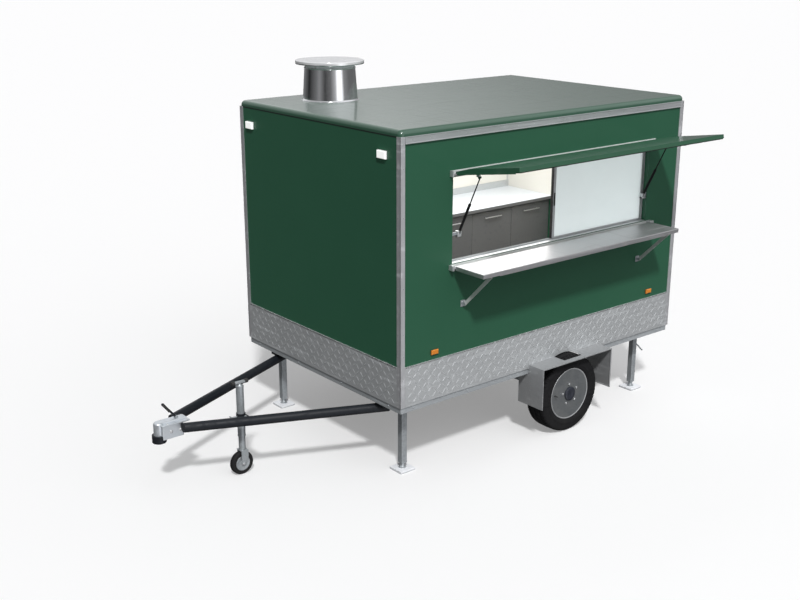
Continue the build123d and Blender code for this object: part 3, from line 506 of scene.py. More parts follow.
finish("zinc", (0.40, 0.43, 0.45), (0.35, 0.38, 0.40), (0.34, 0.52), metallic=0.55, bare=(0.72, 0.74, 0.76),
       wear=0.6, grain=90.0, height=0.0002, dust=0.18)
spangled("zinc", 0.16, 110.0)
# pad_zinc is a near white, non-metallic copy of the zinc: painted light for the sunlit tops of the leg pads. The
# flue's white neck guard wears it too.
finish("pad_zinc", (0.93, 0.95, 0.98), (0.90, 0.92, 0.96), (0.40, 0.58), metallic=0.0, bare=(0.8, 0.8, 0.8),
       wear=0.6, grain=90.0, height=0.0002, dust=0.04, fades=0.05)
spangled("pad_zinc", 0.05, 90.0)
print("zinc:", finishes["zinc"].name, finishes["pad_zinc"].name)

# %% [markdown]
# The flue is polished stainless steel: almost a mirror, with hair lines round it from
# the polishing wheel. The shelf and the kitchen are brushed, so they blur what they
# mirror along the brushing. Bolt heads are bright plated steel.

# %% Stainless and plated steel
finish("polished_steel", (0.88, 0.89, 0.90), (0.82, 0.83, 0.85), (0.07, 0.14), metallic=1.0,
       bare=(0.9, 0.9, 0.9), grain=60.0, stretch=(0.4, 0.4, 14), height=0.00002, dust=0.0, scratch=0.03)
finish("shelf_steel", (0.55, 0.55, 0.56), (0.50, 0.50, 0.51), (0.36, 0.50), metallic=0.9,
       bare=(0.85, 0.85, 0.85), grain=90.0, stretch=(0.05, 4, 4), height=0.00005, dust=0.03, scratch=0.15)
finish("kitchen_steel", (0.55, 0.55, 0.56), (0.48, 0.48, 0.49), (0.25, 0.40), metallic=0.9,
       bare=(0.8, 0.8, 0.8), grain=90.0, stretch=(0.05, 4, 4), height=0.00005, dust=0.03, scratch=0.15)
finish("cap_steel", (0.92, 0.93, 0.94), (0.88, 0.89, 0.90), (0.16, 0.26), metallic=0.35,
       bare=(0.9, 0.9, 0.9), grain=60.0, height=0.00002, dust=0.0, scratch=0.03)
finish("bright_bolt", (0.85, 0.86, 0.87), (0.78, 0.79, 0.80), (0.18, 0.32), metallic=0.9, grain=200.0,
       height=0.0001, dust=0.05)
print("steel finishes:", len(finishes))

# %% [markdown]
# Dark paints: satin black with a blue tinge on the drawbar, gloss black on the gas
# struts, grey enamel on the wheels, and the near black hub cap. Chips along the edges
# show grey primer, not bright metal.

# %% Dark paints
finish("black_steel", (0.007, 0.009, 0.013), (0.010, 0.013, 0.018), (0.40, 0.56), bare=(0.08, 0.08, 0.09),
       wear=0.5, grain=260.0, height=0.0002, dust=0.03, specular=0.28)
finish("strut_black", (0.006, 0.006, 0.007), (0.009, 0.009, 0.010), (0.50, 0.66), bare=(0.03, 0.03, 0.03),
       wear=0.2, grain=200.0, height=0.00005, dust=0.0, specular=0.15)
finish("wheel_grey", (0.125, 0.135, 0.142), (0.11, 0.12, 0.127), (0.34, 0.50), metallic=0.25,
       bare=(0.40, 0.41, 0.42), wear=0.7, grain=260.0, height=0.0001, dust=0.25)
finish("hub_cap_black", (0.010, 0.014, 0.026), (0.014, 0.018, 0.030), (0.28, 0.42), bare=(0.10, 0.10, 0.12),
       wear=0.4, grain=200.0, height=0.0001, dust=0.10)
finish("cabinet_grey", (0.115, 0.117, 0.120), (0.105, 0.107, 0.110), (0.45, 0.60), bare=(0.25, 0.25, 0.25),
       wear=0.4, grain=300.0, height=0.0001, dust=0.02)
print("dark paints done:", len(finishes))

# %% [markdown]
# Rubber is never quite black. Tyres are a warm dark grey with brown dust low down;
# seals are smoother. The grain is fine and isotropic, because rubber is cast.

# %% Rubber
finish("tyre", (0.007, 0.007, 0.008), (0.011, 0.011, 0.012), (0.66, 0.82), bare=(0.03, 0.03, 0.03), wear=0.4,
       grain=500.0, height=0.0003, dust=0.03, fades=0.45, specular=0.2)
finish("small_tyre", (0.007, 0.007, 0.008), (0.011, 0.011, 0.012), (0.60, 0.78), bare=(0.03, 0.03, 0.03),
       wear=0.4, grain=500.0, height=0.0003, dust=0.06, fades=0.2, specular=0.25)
finish("seal_rubber", (0.016, 0.016, 0.017), (0.022, 0.022, 0.022), (0.50, 0.66), wear=0.1, grain=400.0,
       height=0.0001, dust=0.06, specular=0.35)
print("rubber done:", len(finishes))

# %% [markdown]
# Inside, the walls are lined with cream sheet, the worktop is white laminate, and the
# floor is grey sealed board. Outside there are moulded parts: white front lamps,
# amber side lamps, red rear lamps and a blank plate. The white lenses glow a little, as
# a reflector behind clear plastic does in daylight.

# %% Linings, laminate and moulded parts
LAMP_GLOW = 0.5
finish("cream_lining", (0.74, 0.72, 0.66), (0.78, 0.76, 0.71), (0.42, 0.55), bare=(0.6, 0.58, 0.5), wear=0.2,
       grain=300.0, height=0.00008, dust=0.0)
finish("worktop_white", (0.74, 0.78, 0.82), (0.70, 0.74, 0.79), (0.28, 0.40), wear=0.2, grain=220.0,
       height=0.00004, dust=0.0, scratch=0.12)
finish("floor_board", (0.20, 0.19, 0.18), (0.26, 0.25, 0.23), (0.55, 0.75), wear=0.3, grain=120.0,
       height=0.0003, dust=0.3)
finish("plate_white", (0.78, 0.78, 0.78), (0.74, 0.74, 0.74), (0.32, 0.45), wear=0.2, grain=200.0,
       height=0.00005, dust=0.15)
finish("lamp_clear", (0.84, 0.88, 0.88), (0.80, 0.84, 0.85), (0.12, 0.20), wear=0.1, grain=40.0,
       height=0.00005, dust=0.02, coat=0.6)
finish("lamp_amber", (0.78, 0.26, 0.02), (0.70, 0.22, 0.02), (0.12, 0.22), wear=0.1, grain=40.0,
       height=0.00005, dust=0.03, coat=0.6)
finish("lamp_red", (0.42, 0.012, 0.012), (0.36, 0.01, 0.01), (0.12, 0.22), wear=0.1, grain=40.0,
       height=0.00005, dust=0.08, coat=0.6)
finish("black_plastic", (0.02, 0.02, 0.021), (0.026, 0.026, 0.026), (0.45, 0.60), wear=0.3, grain=500.0,
       height=0.0002, dust=0.1)
lens_white = finishes["lamp_clear"].node_tree.nodes["Principled BSDF"]
lens_white.inputs["Emission Color"].default_value = (1.0, 0.99, 0.95, 1)
lens_white.inputs["Emission Strength"].default_value = LAMP_GLOW
print("all solid finishes:", len(finishes))

# %% [markdown]
# ### Window glass
# The sliding panes are milky glass in front of a lit cabin. Real transmission needs
# many bounces in a closed room, so the pane is mostly veil: its alpha lets the kitchen
# through only dimly, a faint glow stands for the lamp light that comes through it, and
# its gloss mirrors the studio. The fingerprints are a noise in the roughness.

# %% Glass
PANE_GLOW = 0.27


def window_glass():
    material = bpy.data.materials.new("window_glass")
    material.use_nodes = True
    tree = material.node_tree
    shader = tree.nodes["Principled BSDF"]
    skin = group_node(tree, GRAIN, [("Scale", 14.0)])
    haze = add(tree, "MapRange", [("Value", skin.outputs["Value"]), ("From Min", 0.35), ("From Max", 0.7),
                                  ("To Min", 0.03), ("To Max", 0.14)])
    veil = add(tree, "MapRange", [("Value", skin.outputs["Cloud"]), ("From Min", 0.3), ("From Max", 0.7),
                                  ("To Min", 0.78), ("To Max", 0.84)])
    tint = mixed(tree, skin.outputs["Cloud"], (0.78, 0.84, 0.84, 1), (0.82, 0.87, 0.87, 1))
    tree.links.new(tint, shader.inputs["Base Color"])
    tree.links.new(haze.outputs[0], shader.inputs["Roughness"])
    tree.links.new(veil.outputs[0], shader.inputs["Alpha"])
    shader.inputs["IOR"].default_value = 1.5
    shader.inputs["Emission Color"].default_value = (0.93, 1.0, 1.0, 1)
    shader.inputs["Emission Strength"].default_value = PANE_GLOW
    finishes["window_glass"] = material
    return material


print("made", window_glass().name)

# %% [markdown]
# ## Dress the imported pieces
# Every imported piece names a slot in its record. The finishes above carry the same
# names, so one loop gives each piece its finish. This changes only the material, and
# never the shape. Three pieces differ from the rest of their slot: the stays and hinge
# rails wear a paler, almost matt copy of the alloy, painted light that makes these
# shaded parts read bright, and the flue's cap is duller than its polished pipe.

# %% Give every imported piece its finish
# The stays and hinge rails get the paler alloy copy, which paints light onto them where they sit in shade.
OWN_FINISH = {"shelf_stays": "pale_alloy", "hinge_rails": "pale_alloy", "flue_cap": "cap_steel"}
for node, part in nodes.items():
    part.data.materials.clear()
    part.data.materials.append(finishes[OWN_FINISH.get(node, slot_of[node])])
print("dressed", len(nodes), "packed pieces")
# %% [markdown]
# ## Helpers for making pieces
# Each piece is drawn into a bmesh, which is Blender's editable mesh: vertices and
# faces are added one by one and written to an object at the end. Four shapes cover most
# of a trailer: a slab between two corners, a profile turned round an axis, a rod,
# and the low dome of a rivet. A lathe is worth writing well: bolts, rings, tyres and
# caps are all one profile turned.

# %% Shapes
def slab(bm, low, high):
    """Add a box between two corners."""
    low, high = Vector(low), Vector(high)
    for vert in bmesh.ops.create_cube(bm, size=1)["verts"]:
        vert.co = [a + (c + 0.5) * (b - a) for a, b, c in zip(low, high, vert.co)]


def lathe(bm, centre, axis, profile, sides=24):
    """Turn (distance along the axis, radius) points round an axis; radius 0 closes an end."""
    axis = Vector(axis).normalized()
    u = axis.orthogonal().normalized()
    v = axis.cross(u)
    turns = [2 * math.pi * k / sides for k in range(sides)]
    spokes = [u * math.cos(t) + v * math.sin(t) for t in turns]
    rings = []
    for along, radius in profile:
        base = Vector(centre) + axis * along
        if radius == 0:
            rings.append([bm.verts.new(base)] * sides)
        else:
            rings.append([bm.verts.new(base + spoke * radius) for spoke in spokes])
    for low, high in zip(rings, rings[1:]):
        for k in range(sides):
            after = (k + 1) % sides
            bm.faces.new(dict.fromkeys((low[k], low[after], high[after], high[k])))


def rod(bm, start, end, radius, sides=12):
    """Add a round bar between two points."""
    start, end = Vector(start), Vector(end)
    length = (end - start).length
    lathe(bm, start, end - start, ((0, 0), (0, radius), (length, radius), (length, 0)), sides)


def rivet(bm, point, outward, radius=3.2 * MM, height=1.6 * MM):
    """Add the low dome of a rivet's head, sunk a little into its sheet."""
    lathe(bm, point, outward, ((-0.3 * MM, radius), (0.6 * height, 0.8 * radius), (height, 0)), 8)


def hexagon(bm, point, outward, radius, height):
    """Add a bolt's head on its washer."""
    washer = 1.6 * MM
    lathe(bm, point, outward, ((0, 1.45 * radius), (washer, 1.4 * radius), (washer, 0)), 16)
    lathe(bm, point, outward,
          ((washer, radius), (0.8 * height, radius), (height, 0.82 * radius), (height, 0)), 6)


print("four shapes and a bolt are ready")

# %% [markdown]
# `piece` writes a finished bmesh to an object. It shades curved parts smooth and
# keeps hard edges hard, rounds long edges with a bevel modifier where asked, gives
# the piece its finish, and hangs it on the body it moves with.

# %% Write a piece
SMOOTH_BELOW = math.radians(38)


def piece(name, bm, look, body="trailer", rounding=0.0, segments=2):
    bmesh.ops.recalc_face_normals(bm, faces=bm.faces)
    mesh = bpy.data.meshes.new(name)
    bm.to_mesh(mesh)
    bm.free()
    mesh.shade_smooth()
    mesh.set_sharp_from_angle(angle=SMOOTH_BELOW)
    mesh.materials.append(finishes[look])
    made = bpy.data.objects.new(name, mesh)
    bpy.context.scene.collection.objects.link(made)
    if rounding:
        bevel = made.modifiers.new("rounding", "BEVEL")
        bevel.width = rounding
        bevel.segments = segments
        bevel.limit_method = "ANGLE"
        bevel.harden_normals = True
    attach(made, body)
    return made


def spaced(start, end, step):
    """Places from start to end, evenly, about a step apart."""
    count = max(1, round(abs(end - start) / step))
    return [start + (end - start) * k / count for k in range(count + 1)]


# %% [markdown]
# ## Tread plate
# Tread plate is rolled with raised lenses that cross each other at right angles, so
# that a boot finds an edge in any direction. One lens is a small spine with two
# sloping sides; a loop sets them out in a checkerboard, turned one way and the other.
# Lenses that would hang over an arch or a door are left out.

# %% Raised lenses
CELL = 46 * MM
LENS_HALF = 26 * MM
LENS_WIDE = 4.6 * MM
LENS_HIGH = 2.4 * MM
LENS_STEPS = ((-0.62, 0.74, 0.7), (0.0, 1.0, 1.0), (0.62, 0.74, 0.7))


def lens(bm, at, along, over, out):
    """Add one lens at a point: along its spine, over its width, out of the plate."""
    sink = out * -0.2 * MM
    first = bm.verts.new(at - along * LENS_HALF + sink)
    last = bm.verts.new(at + along * LENS_HALF + sink)
    rows = []
    for place, wide, high in LENS_STEPS:
        mid = at + along * place * LENS_HALF
        side = over * wide * LENS_WIDE
        top = out * high * LENS_HIGH
        rows.append([bm.verts.new(mid - side + sink), bm.verts.new(mid + top),
                     bm.verts.new(mid + side + sink)])
    for low, high in zip(rows, rows[1:]):
        for k in (0, 1):
            bm.faces.new((low[k], low[k + 1], high[k + 1], high[k]))
    for k in (0, 1):
        bm.faces.new((first, rows[0][k + 1], rows[0][k]))
        bm.faces.new((last, rows[-1][k], rows[-1][k + 1]))


def tread(name, origin, right, width, height, body="trailer", keep=lambda point: True):
    """Cover a plate with lenses: from its lower corner, to its right, and up."""
    up = Vector((0, 0, 1))
    right, origin = Vector(right), Vector(origin)
    out = right.cross(up)
    bm = bmesh.new()
    columns, rows = int(width / CELL), int(height / CELL)
    inset = right * (width - columns * CELL) / 2 + up * (height - rows * CELL) / 2
    for i in range(columns):
        for j in range(rows):
            at = origin + inset + right * (i + 0.5) * CELL + up * (j + 0.5) * CELL
            if keep(at):
                lean = 1 if (i + j) % 2 else -1
                lens(bm, at, (right + up * lean).normalized(), (right - up * lean).normalized(), out)
    return piece(name, bm, "tread_plate", body)


print("a lens is", round(2 * LENS_HALF, 3), "m long")

# %% [markdown]
# Now the plates: one along each wall, one in front, one at the back on each side of
# the door, and the door's own kick plate, which swings with the door.

# %% Cover the plates
TRIM = 36 * MM
skirt_lo, skirt_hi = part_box("skirt_plates")
wheel_at = (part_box("left_tyre")[0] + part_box("left_tyre")[1]) / 2
ARCH = (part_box("left_tyre")[1].z / 2) + 30 * MM
door_lo, door_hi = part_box("rear_door")
kick_lo, kick_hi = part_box("door_kick_plate")
skirt_tall = skirt_hi.z - skirt_lo.z


def clear_of_arch(point):
    return math.hypot(point.x - wheel_at.x, point.z - wheel_at.z) > ARCH


def clear_of_door(point):
    return not door_lo.y - 0.025 < point.y < door_hi.y + 0.025


side_long = front_x - rear_x - 2 * TRIM
front_long = left_y - right_y - 2 * TRIM
tread("tread_left", (front_x - TRIM, skirt_hi.y, skirt_lo.z), (-1, 0, 0), side_long, skirt_tall,
      keep=clear_of_arch)
tread("tread_right", (rear_x + TRIM, skirt_lo.y, skirt_lo.z), (1, 0, 0), side_long, skirt_tall,
      keep=clear_of_arch)
tread("tread_front", (skirt_hi.x, right_y + TRIM, skirt_lo.z), (0, 1, 0), front_long, skirt_tall)
tread("tread_rear", (skirt_lo.x, left_y - TRIM, skirt_lo.z), (0, -1, 0), front_long, skirt_tall,
      keep=clear_of_door)
tread("tread_door", (kick_lo.x, kick_hi.y, kick_lo.z), (0, -1, 0), kick_hi.y - kick_lo.y,
      kick_hi.z - kick_lo.z, "door")

# %% [markdown]
# The cut top edge of a tread plate would tear a sleeve, so it carries a folded strip.
# The strip is a slab with rounded edges. Rivets through the strip hold the plate.

# %% Top strips and their rivets
STRIP_H, STRIP_T = 9 * MM, 2.5 * MM
RIVET_STEP = 0.165

strips, heads = bmesh.new(), bmesh.new()
for y, out in ((skirt_hi.y, 1), (skirt_lo.y, -1)):
    low_y, high_y = sorted((y, y + out * STRIP_T))
    slab(strips, (rear_x + TRIM, low_y, skirt_hi.z - STRIP_H), (front_x - TRIM, high_y, skirt_hi.z))
    for x in spaced(rear_x + 2 * TRIM, front_x - 2 * TRIM, RIVET_STEP):
        rivet(heads, (x, y + out * STRIP_T, skirt_hi.z - STRIP_H / 2), (0, out, 0))
slab(strips, (skirt_hi.x, right_y + TRIM, skirt_hi.z - STRIP_H),
     (skirt_hi.x + STRIP_T, left_y - TRIM, skirt_hi.z))
for y in spaced(right_y + 2 * TRIM, left_y - 2 * TRIM, RIVET_STEP):
    rivet(heads, (skirt_hi.x + STRIP_T, y, skirt_hi.z - STRIP_H / 2), (1, 0, 0))
piece("skirt_top_strips", strips, "bright_bolt", rounding=1 * MM)
piece("skirt_rivets", heads, "bright_bolt")
print("strip height:", STRIP_H)

# %% [markdown]
# ## Corner trims, rails and roof seam
# The corner trims are drawn angles with a rubber bead pressed into a groove at the
# very corner. The bead is two narrow strips that meet at the edge. Rivets run down
# both legs of each angle, in the middle of the leg.

# %% Beads and rivets on the corners
BEAD_W, BEAD_T = 3.5 * MM, 0.5 * MM
trim_lo, trim_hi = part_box("corner_trims")
beads, heads = bmesh.new(), bmesh.new()
for edge_x, sx in ((trim_hi.x, 1), (trim_lo.x, -1)):
    for edge_y, sy in ((trim_hi.y, 1), (trim_lo.y, -1)):
        x0, x1 = sorted((edge_x - sx * BEAD_W, edge_x + sx * BEAD_T))
        y0, y1 = sorted((edge_y - sy * BEAD_W, edge_y + sy * BEAD_T))
        slab(beads, (x0, y0, trim_lo.z), (x1, y1, trim_hi.z))
        for z in spaced(trim_lo.z + 0.05, trim_hi.z - 0.05, RIVET_STEP):
            rivet(heads, (edge_x - sx * 26 * MM, edge_y, z), (0, sy, 0))
            rivet(heads, (edge_x, edge_y - sy * 26 * MM, z), (sx, 0, 0))
piece("corner_beads", beads, "cabinet_grey", rounding=0.4 * MM)
piece("corner_rivets", heads, "bright_bolt")
print("corner rivets run from", round(trim_lo.z, 3), "to", round(trim_hi.z, 3))

# %% [markdown]
# A gutter rail keeps rain out of the hatch: a lip stands out along its foot. Under
# the roof's front and rear edges a dark rubber strip paints the shadow line that the roof's edge casts there.

# %% Gutter lips and the painted shadow strip under the roof
rail_lo, rail_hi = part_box("roof_rails")
LIP = 3 * MM
lips, roof_shadow_strip, heads = bmesh.new(), bmesh.new(), bmesh.new()
for y, out in ((rail_hi.y, 1), (rail_lo.y, -1)):
    low_y, high_y = sorted((y - out * LIP, y + out * LIP))
    for z in (rail_lo.z, rail_hi.z - 2 * LIP):
        slab(lips, (rail_lo.x, low_y, z), (rail_hi.x, high_y, z + 2 * LIP))
    for x in spaced(rail_lo.x + 0.06, rail_hi.x - 0.06, RIVET_STEP):
        rivet(heads, (x, y, (rail_lo.z + rail_hi.z) / 2), (0, out, 0))
# The dark strip under the roof's front and rear edges is painted shadow: it stands for the shade that the roof's
# edge casts on the wall top.
for x, out in ((front_x, 1), (rear_x, -1)):
    low_x, high_x = sorted((x, x + out * 2 * MM))
    slab(roof_shadow_strip, (low_x, right_y + TRIM, ceiling_z - 7 * MM), (high_x, left_y - TRIM, ceiling_z))
piece("gutter_lips", lips, "aluminium_rail", rounding=1.5 * MM)
piece("gutter_rivets", heads, "bright_bolt")
piece("roof_seal", roof_shadow_strip, "seal_rubber", rounding=0.8 * MM)
print("gutter length:", round(rail_hi.x - rail_lo.x, 3))

# %% [markdown]
# ## Wheels
# A tyre is one outline turned round the axle, but the tread breaks that up. The
# outline here has three grooves round the tyre. At every pitch a short stretch of the
# shoulder is pressed in, which leaves blocks, and the grooves step from side to side,
# which leaves the zigzag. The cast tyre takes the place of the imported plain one.

# %% Tyres with a tread
PITCHES = 58
STEP_PLACES = (0.0, 0.70, 0.74, 0.96)
CUT_FROM = 2
GROOVE, GROOVE_W, ZIGZAG = 7 * MM, 4 * MM, 2 * MM
SHOULDER_CUT = 5.5 * MM
RIB_PLACES = (-0.048, 0.0, 0.048)
CROWN = 0.8
BEAD_R = 196 * MM


def tyre_outline(half, outer, bead, shift, cut):
    """Points (sideways, radius) over the tyre, from one bead to the other."""
    lip = bead + 16 * MM
    side = [(half - 22 * MM, bead), (half - 22 * MM, lip), (half - 10 * MM, lip + 1 * MM),
            (half - 3 * MM, lip + 14 * MM), (half - 0.5 * MM, lip + 34 * MM),
            (half - 2.5 * MM, lip + 37 * MM),
            (half - 1 * MM, lip + 58 * MM), (half - 7 * MM, outer - 20 * MM),
            (half - 15 * MM, outer - 7 * MM - cut), (half - 24 * MM, outer - 3.5 * MM - cut),
            (half - 36 * MM, outer - 1.5 * MM - cut)]
    tread_line = []
    for place in reversed(RIB_PLACES):
        mid = place + shift
        for across, deep in ((2 * GROOVE_W, 0), (GROOVE_W, 0), (GROOVE_W * 0.7, 1), (-GROOVE_W * 0.7, 1),
                             (-GROOVE_W, 0), (-2 * GROOVE_W, 0)):
            tread_line.append((mid + across, outer - deep * GROOVE - CROWN * (mid + across) ** 2))
    return side + tread_line + [(-y, r) for y, r in reversed(side)]


def tyre(node, body):
    low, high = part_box(node)
    centre, outer, half = (low + high) / 2, (high.z - low.z) / 2, (high.y - low.y) / 2
    bm = bmesh.new()
    rings = []
    for k in range(PITCHES):
        for n, place in enumerate(STEP_PLACES):
            turn = 2 * math.pi * (k + place) / PITCHES
            shift = ZIGZAG if n in (0, 1) else -ZIGZAG
            cut = SHOULDER_CUT if n >= CUT_FROM else 0.0
            ring = [bm.verts.new(centre + Vector((r * math.sin(turn), y, r * math.cos(turn))))
                    for y, r in tyre_outline(half, outer, BEAD_R, shift, cut)]
            rings.append(ring)
    for ring, after in zip(rings, rings[1:] + rings[:1]):
        for a, b, c, d in zip(ring, ring[1:], after[1:], after):
            bm.faces.new((a, b, c, d))
        bm.faces.new((ring[-1], ring[0], after[0], after[-1]))
    made = piece(body + "_tyre_tread", bm, "tyre", body)
    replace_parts(made, node)
    return made


for side in ("left", "right"):
    made = tyre(side + "_tyre", side + "_wheel")
    print(made.name, "faces:", len(made.data.polygons))

# %% [markdown]
# The disc wheel is held by five bolts with bright heads. The hub cap is a dark
# pressed dome, and the rolled edge of the rim shows as a thin ring a shade lighter. A
# valve stands near the edge. Everything here turns with its wheel.

# %% Bolts, hub cap, rim ring and valve
BOLT_CIRCLE = 82.5 * MM
HUB_PROUD = 12 * MM
for side, out in (("left", 1), ("right", -1)):
    low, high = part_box(side + "_rim")
    face = (high.y if out == 1 else low.y) - out * HUB_PROUD
    hub = Vector(((low.x + high.x) / 2, face, (low.z + high.z) / 2))
    body, outward = side + "_wheel", Vector((0, out, 0))
    bm = bmesh.new()
    for k in range(5):
        turn = 2 * math.pi * (k + 0.15) / 5
        at = hub + Vector((math.cos(turn), 0, math.sin(turn))) * BOLT_CIRCLE
        lathe(bm, at, outward, ((0, 10 * MM), (8 * MM, 9.5 * MM), (11 * MM, 6 * MM), (11 * MM, 0)), 6)
    piece(side + "_wheel_bolts", bm, "bright_bolt", body, rounding=0.8 * MM)
    bm = bmesh.new()
    lathe(bm, hub, outward, ((0, 57 * MM), (4 * MM, 56.5 * MM), (10 * MM, 56 * MM), (13.5 * MM, 51 * MM),
                             (15.5 * MM, 36 * MM), (15.5 * MM, 30 * MM), (14 * MM, 26 * MM), (14 * MM, 0)),
                             40)
    piece(side + "_hub_cap", bm, "hub_cap_black", body)
    bm = bmesh.new()
    lathe(bm, hub, outward, ((-5 * MM, 210 * MM), (0, 211 * MM), (2.5 * MM, 209 * MM), (3 * MM, 206 * MM),
                             (1 * MM, 202 * MM), (-1 * MM, 200 * MM), (-5 * MM, 210 * MM)), 96)
    piece(side + "_rim_ring", bm, "mudguard_sheet", body)
    bm = bmesh.new()
    stem = hub + Vector((0.168, 0, 0.02))
    lathe(bm, stem, outward, ((-1 * MM, 8 * MM), (4 * MM, 6 * MM), (6 * MM, 4 * MM), (20 * MM, 3.6 * MM),
                              (22 * MM, 4.4 * MM), (30 * MM, 4.4 * MM), (31 * MM, 0)), 14)
    piece(side + "_valve", bm, "black_plastic", body)
    print(side, "wheel face at y", round(face, 3))

# %% [markdown]
# ## Mudguards and lamps
# A mudguard of thin sheet is stiffened by rolling its edge round a wire. The rolled
# edge is a rod along each outer edge, set in by its own radius.

# %% Rolled edges
ROLL_R = 4.5 * MM
guard_lo, guard_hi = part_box("mudguards")
bm, heads = bmesh.new(), bmesh.new()
for y, out in ((guard_hi.y, 1), (guard_lo.y, -1)):
    edge = y - out * ROLL_R
    inner = (left_y if out == 1 else right_y) + out * 8 * MM
    for x, way in ((guard_lo.x + ROLL_R, -1), (guard_hi.x - ROLL_R, 1)):
        rod(bm, (x, edge, guard_lo.z), (x, edge, guard_hi.z - ROLL_R), ROLL_R, 10)
        rod(bm, (x, inner, guard_lo.z + ROLL_R), (x, edge, guard_lo.z + ROLL_R), ROLL_R, 10)
        rod(bm, (x, inner, guard_hi.z - ROLL_R), (x, edge, guard_hi.z - ROLL_R), ROLL_R, 10)
        for z in spaced(guard_lo.z + 0.05, guard_hi.z - 0.05, 0.09):
            rivet(heads, (x + way * ROLL_R, inner + out * 12 * MM, z), (way, 0, 0))
    rod(bm, (guard_lo.x + ROLL_R, edge, guard_hi.z - ROLL_R),
        (guard_hi.x - ROLL_R, edge, guard_hi.z - ROLL_R),
        ROLL_R, 10)
piece("mudguard_rolled_edges", bm, "mudguard_sheet")
piece("mudguard_rivets", heads, "bright_bolt")
print("mudguard edge radius:", ROLL_R)

# %% [markdown]
# A marker lamp is a moulded base with a lens clipped over it. The base shows as a
# thin rim all round the lens. The rear lamps have more: a dark housing, and ribs that
# divide the lens into brake, turn and reversing light.

# %% Lamp bases and rear lenses
MARGIN = 1.5 * MM
LAMP_HALF = 45 * MM
bm = bmesh.new()
front_lo, front_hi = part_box("front_lamps")
for y in (front_lo.y + LAMP_HALF, front_hi.y - LAMP_HALF):
    slab(bm, (front_x, y - LAMP_HALF - MARGIN, front_lo.z - MARGIN),
         (front_x + 7 * MM, y + LAMP_HALF + MARGIN, front_hi.z + MARGIN))
piece("front_lamp_bases", bm, "plate_white", rounding=2.5 * MM)
lamp_lo, lamp_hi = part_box("side_lamps")
bm = bmesh.new()
for x in (lamp_lo.x + 32 * MM, lamp_hi.x - 32 * MM):
    for y, out in ((left_y, 1), (right_y, -1)):
        low_y, high_y = sorted((y, y + out * 5 * MM))
        slab(bm, (x - 32 * MM - MARGIN, low_y, lamp_lo.z - MARGIN),
             (x + 32 * MM + MARGIN, high_y, lamp_hi.z + MARGIN))
piece("side_lamp_bases", bm, "black_plastic", rounding=2 * MM)
rear_lo, rear_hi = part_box("rear_lamps")
base, amber, red, clear = bmesh.new(), bmesh.new(), bmesh.new(), bmesh.new()
for y in (rear_lo.y + 60 * MM, rear_hi.y - 60 * MM):
    slab(base, (rear_hi.x - 12 * MM, y - 65 * MM, rear_lo.z - 5 * MM),
         (rear_hi.x, y + 65 * MM, rear_hi.z + 5 * MM))
    for lens_mesh, z0, z1 in ((clear, 0, 36 * MM), (red, 37 * MM, 93 * MM), (amber, 94 * MM, 140 * MM)):
        slab(lens_mesh, (rear_lo.x, y - 60 * MM, rear_lo.z + z0),
             (rear_hi.x - 8 * MM, y + 60 * MM, rear_lo.z + z1))
piece("rear_lamp_housings", base, "black_plastic", rounding=3 * MM)
piece("rear_lamp_turn_lenses", amber, "lamp_amber", rounding=3 * MM)
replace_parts(piece("rear_lamp_brake_lenses", red, "lamp_red", rounding=3 * MM), "rear_lamps")
piece("rear_lamp_reverse_lenses", clear, "lamp_clear", rounding=3 * MM)
print("lamp bases done")

# %% [markdown]
# The number plate is blank, in a black holder with two screws. A small lamp above
# it would light it at night.

# %% Plate holder
plate_lo, plate_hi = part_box("number_plate")
bm = bmesh.new()
slab(bm, (plate_hi.x - 3 * MM, plate_lo.y - 8 * MM, plate_lo.z - 8 * MM),
     (plate_hi.x, plate_hi.y + 8 * MM, plate_hi.z + 8 * MM))
plate_mid = (plate_lo.y + plate_hi.y) / 2
slab(bm, (plate_lo.x - 18 * MM, plate_mid - 35 * MM, plate_hi.z + 14 * MM),
     (plate_hi.x, plate_mid + 35 * MM, plate_hi.z + 32 * MM))
piece("plate_holder", bm, "black_plastic", rounding=2 * MM)
bm = bmesh.new()
for y in (plate_lo.y + 30 * MM, plate_hi.y - 30 * MM):
    rivet(bm, (plate_lo.x, y, (plate_lo.z + plate_hi.z) / 2), (-1, 0, 0), 5 * MM, 2 * MM)
piece("plate_screws", bm, "bright_bolt")
print("plate width:", round(plate_hi.y - plate_lo.y, 3))

# %% [markdown]
# ## The cabin inside
# Through the hatch one looks into a bright, cream lined cabin. The lining is thin
# board, cut round the window, the door and the extractor's neck, with a cover strip
# over every joint. Only the parts above the worktop are lined on the kitchen's side,
# because the cabinets hide the rest.

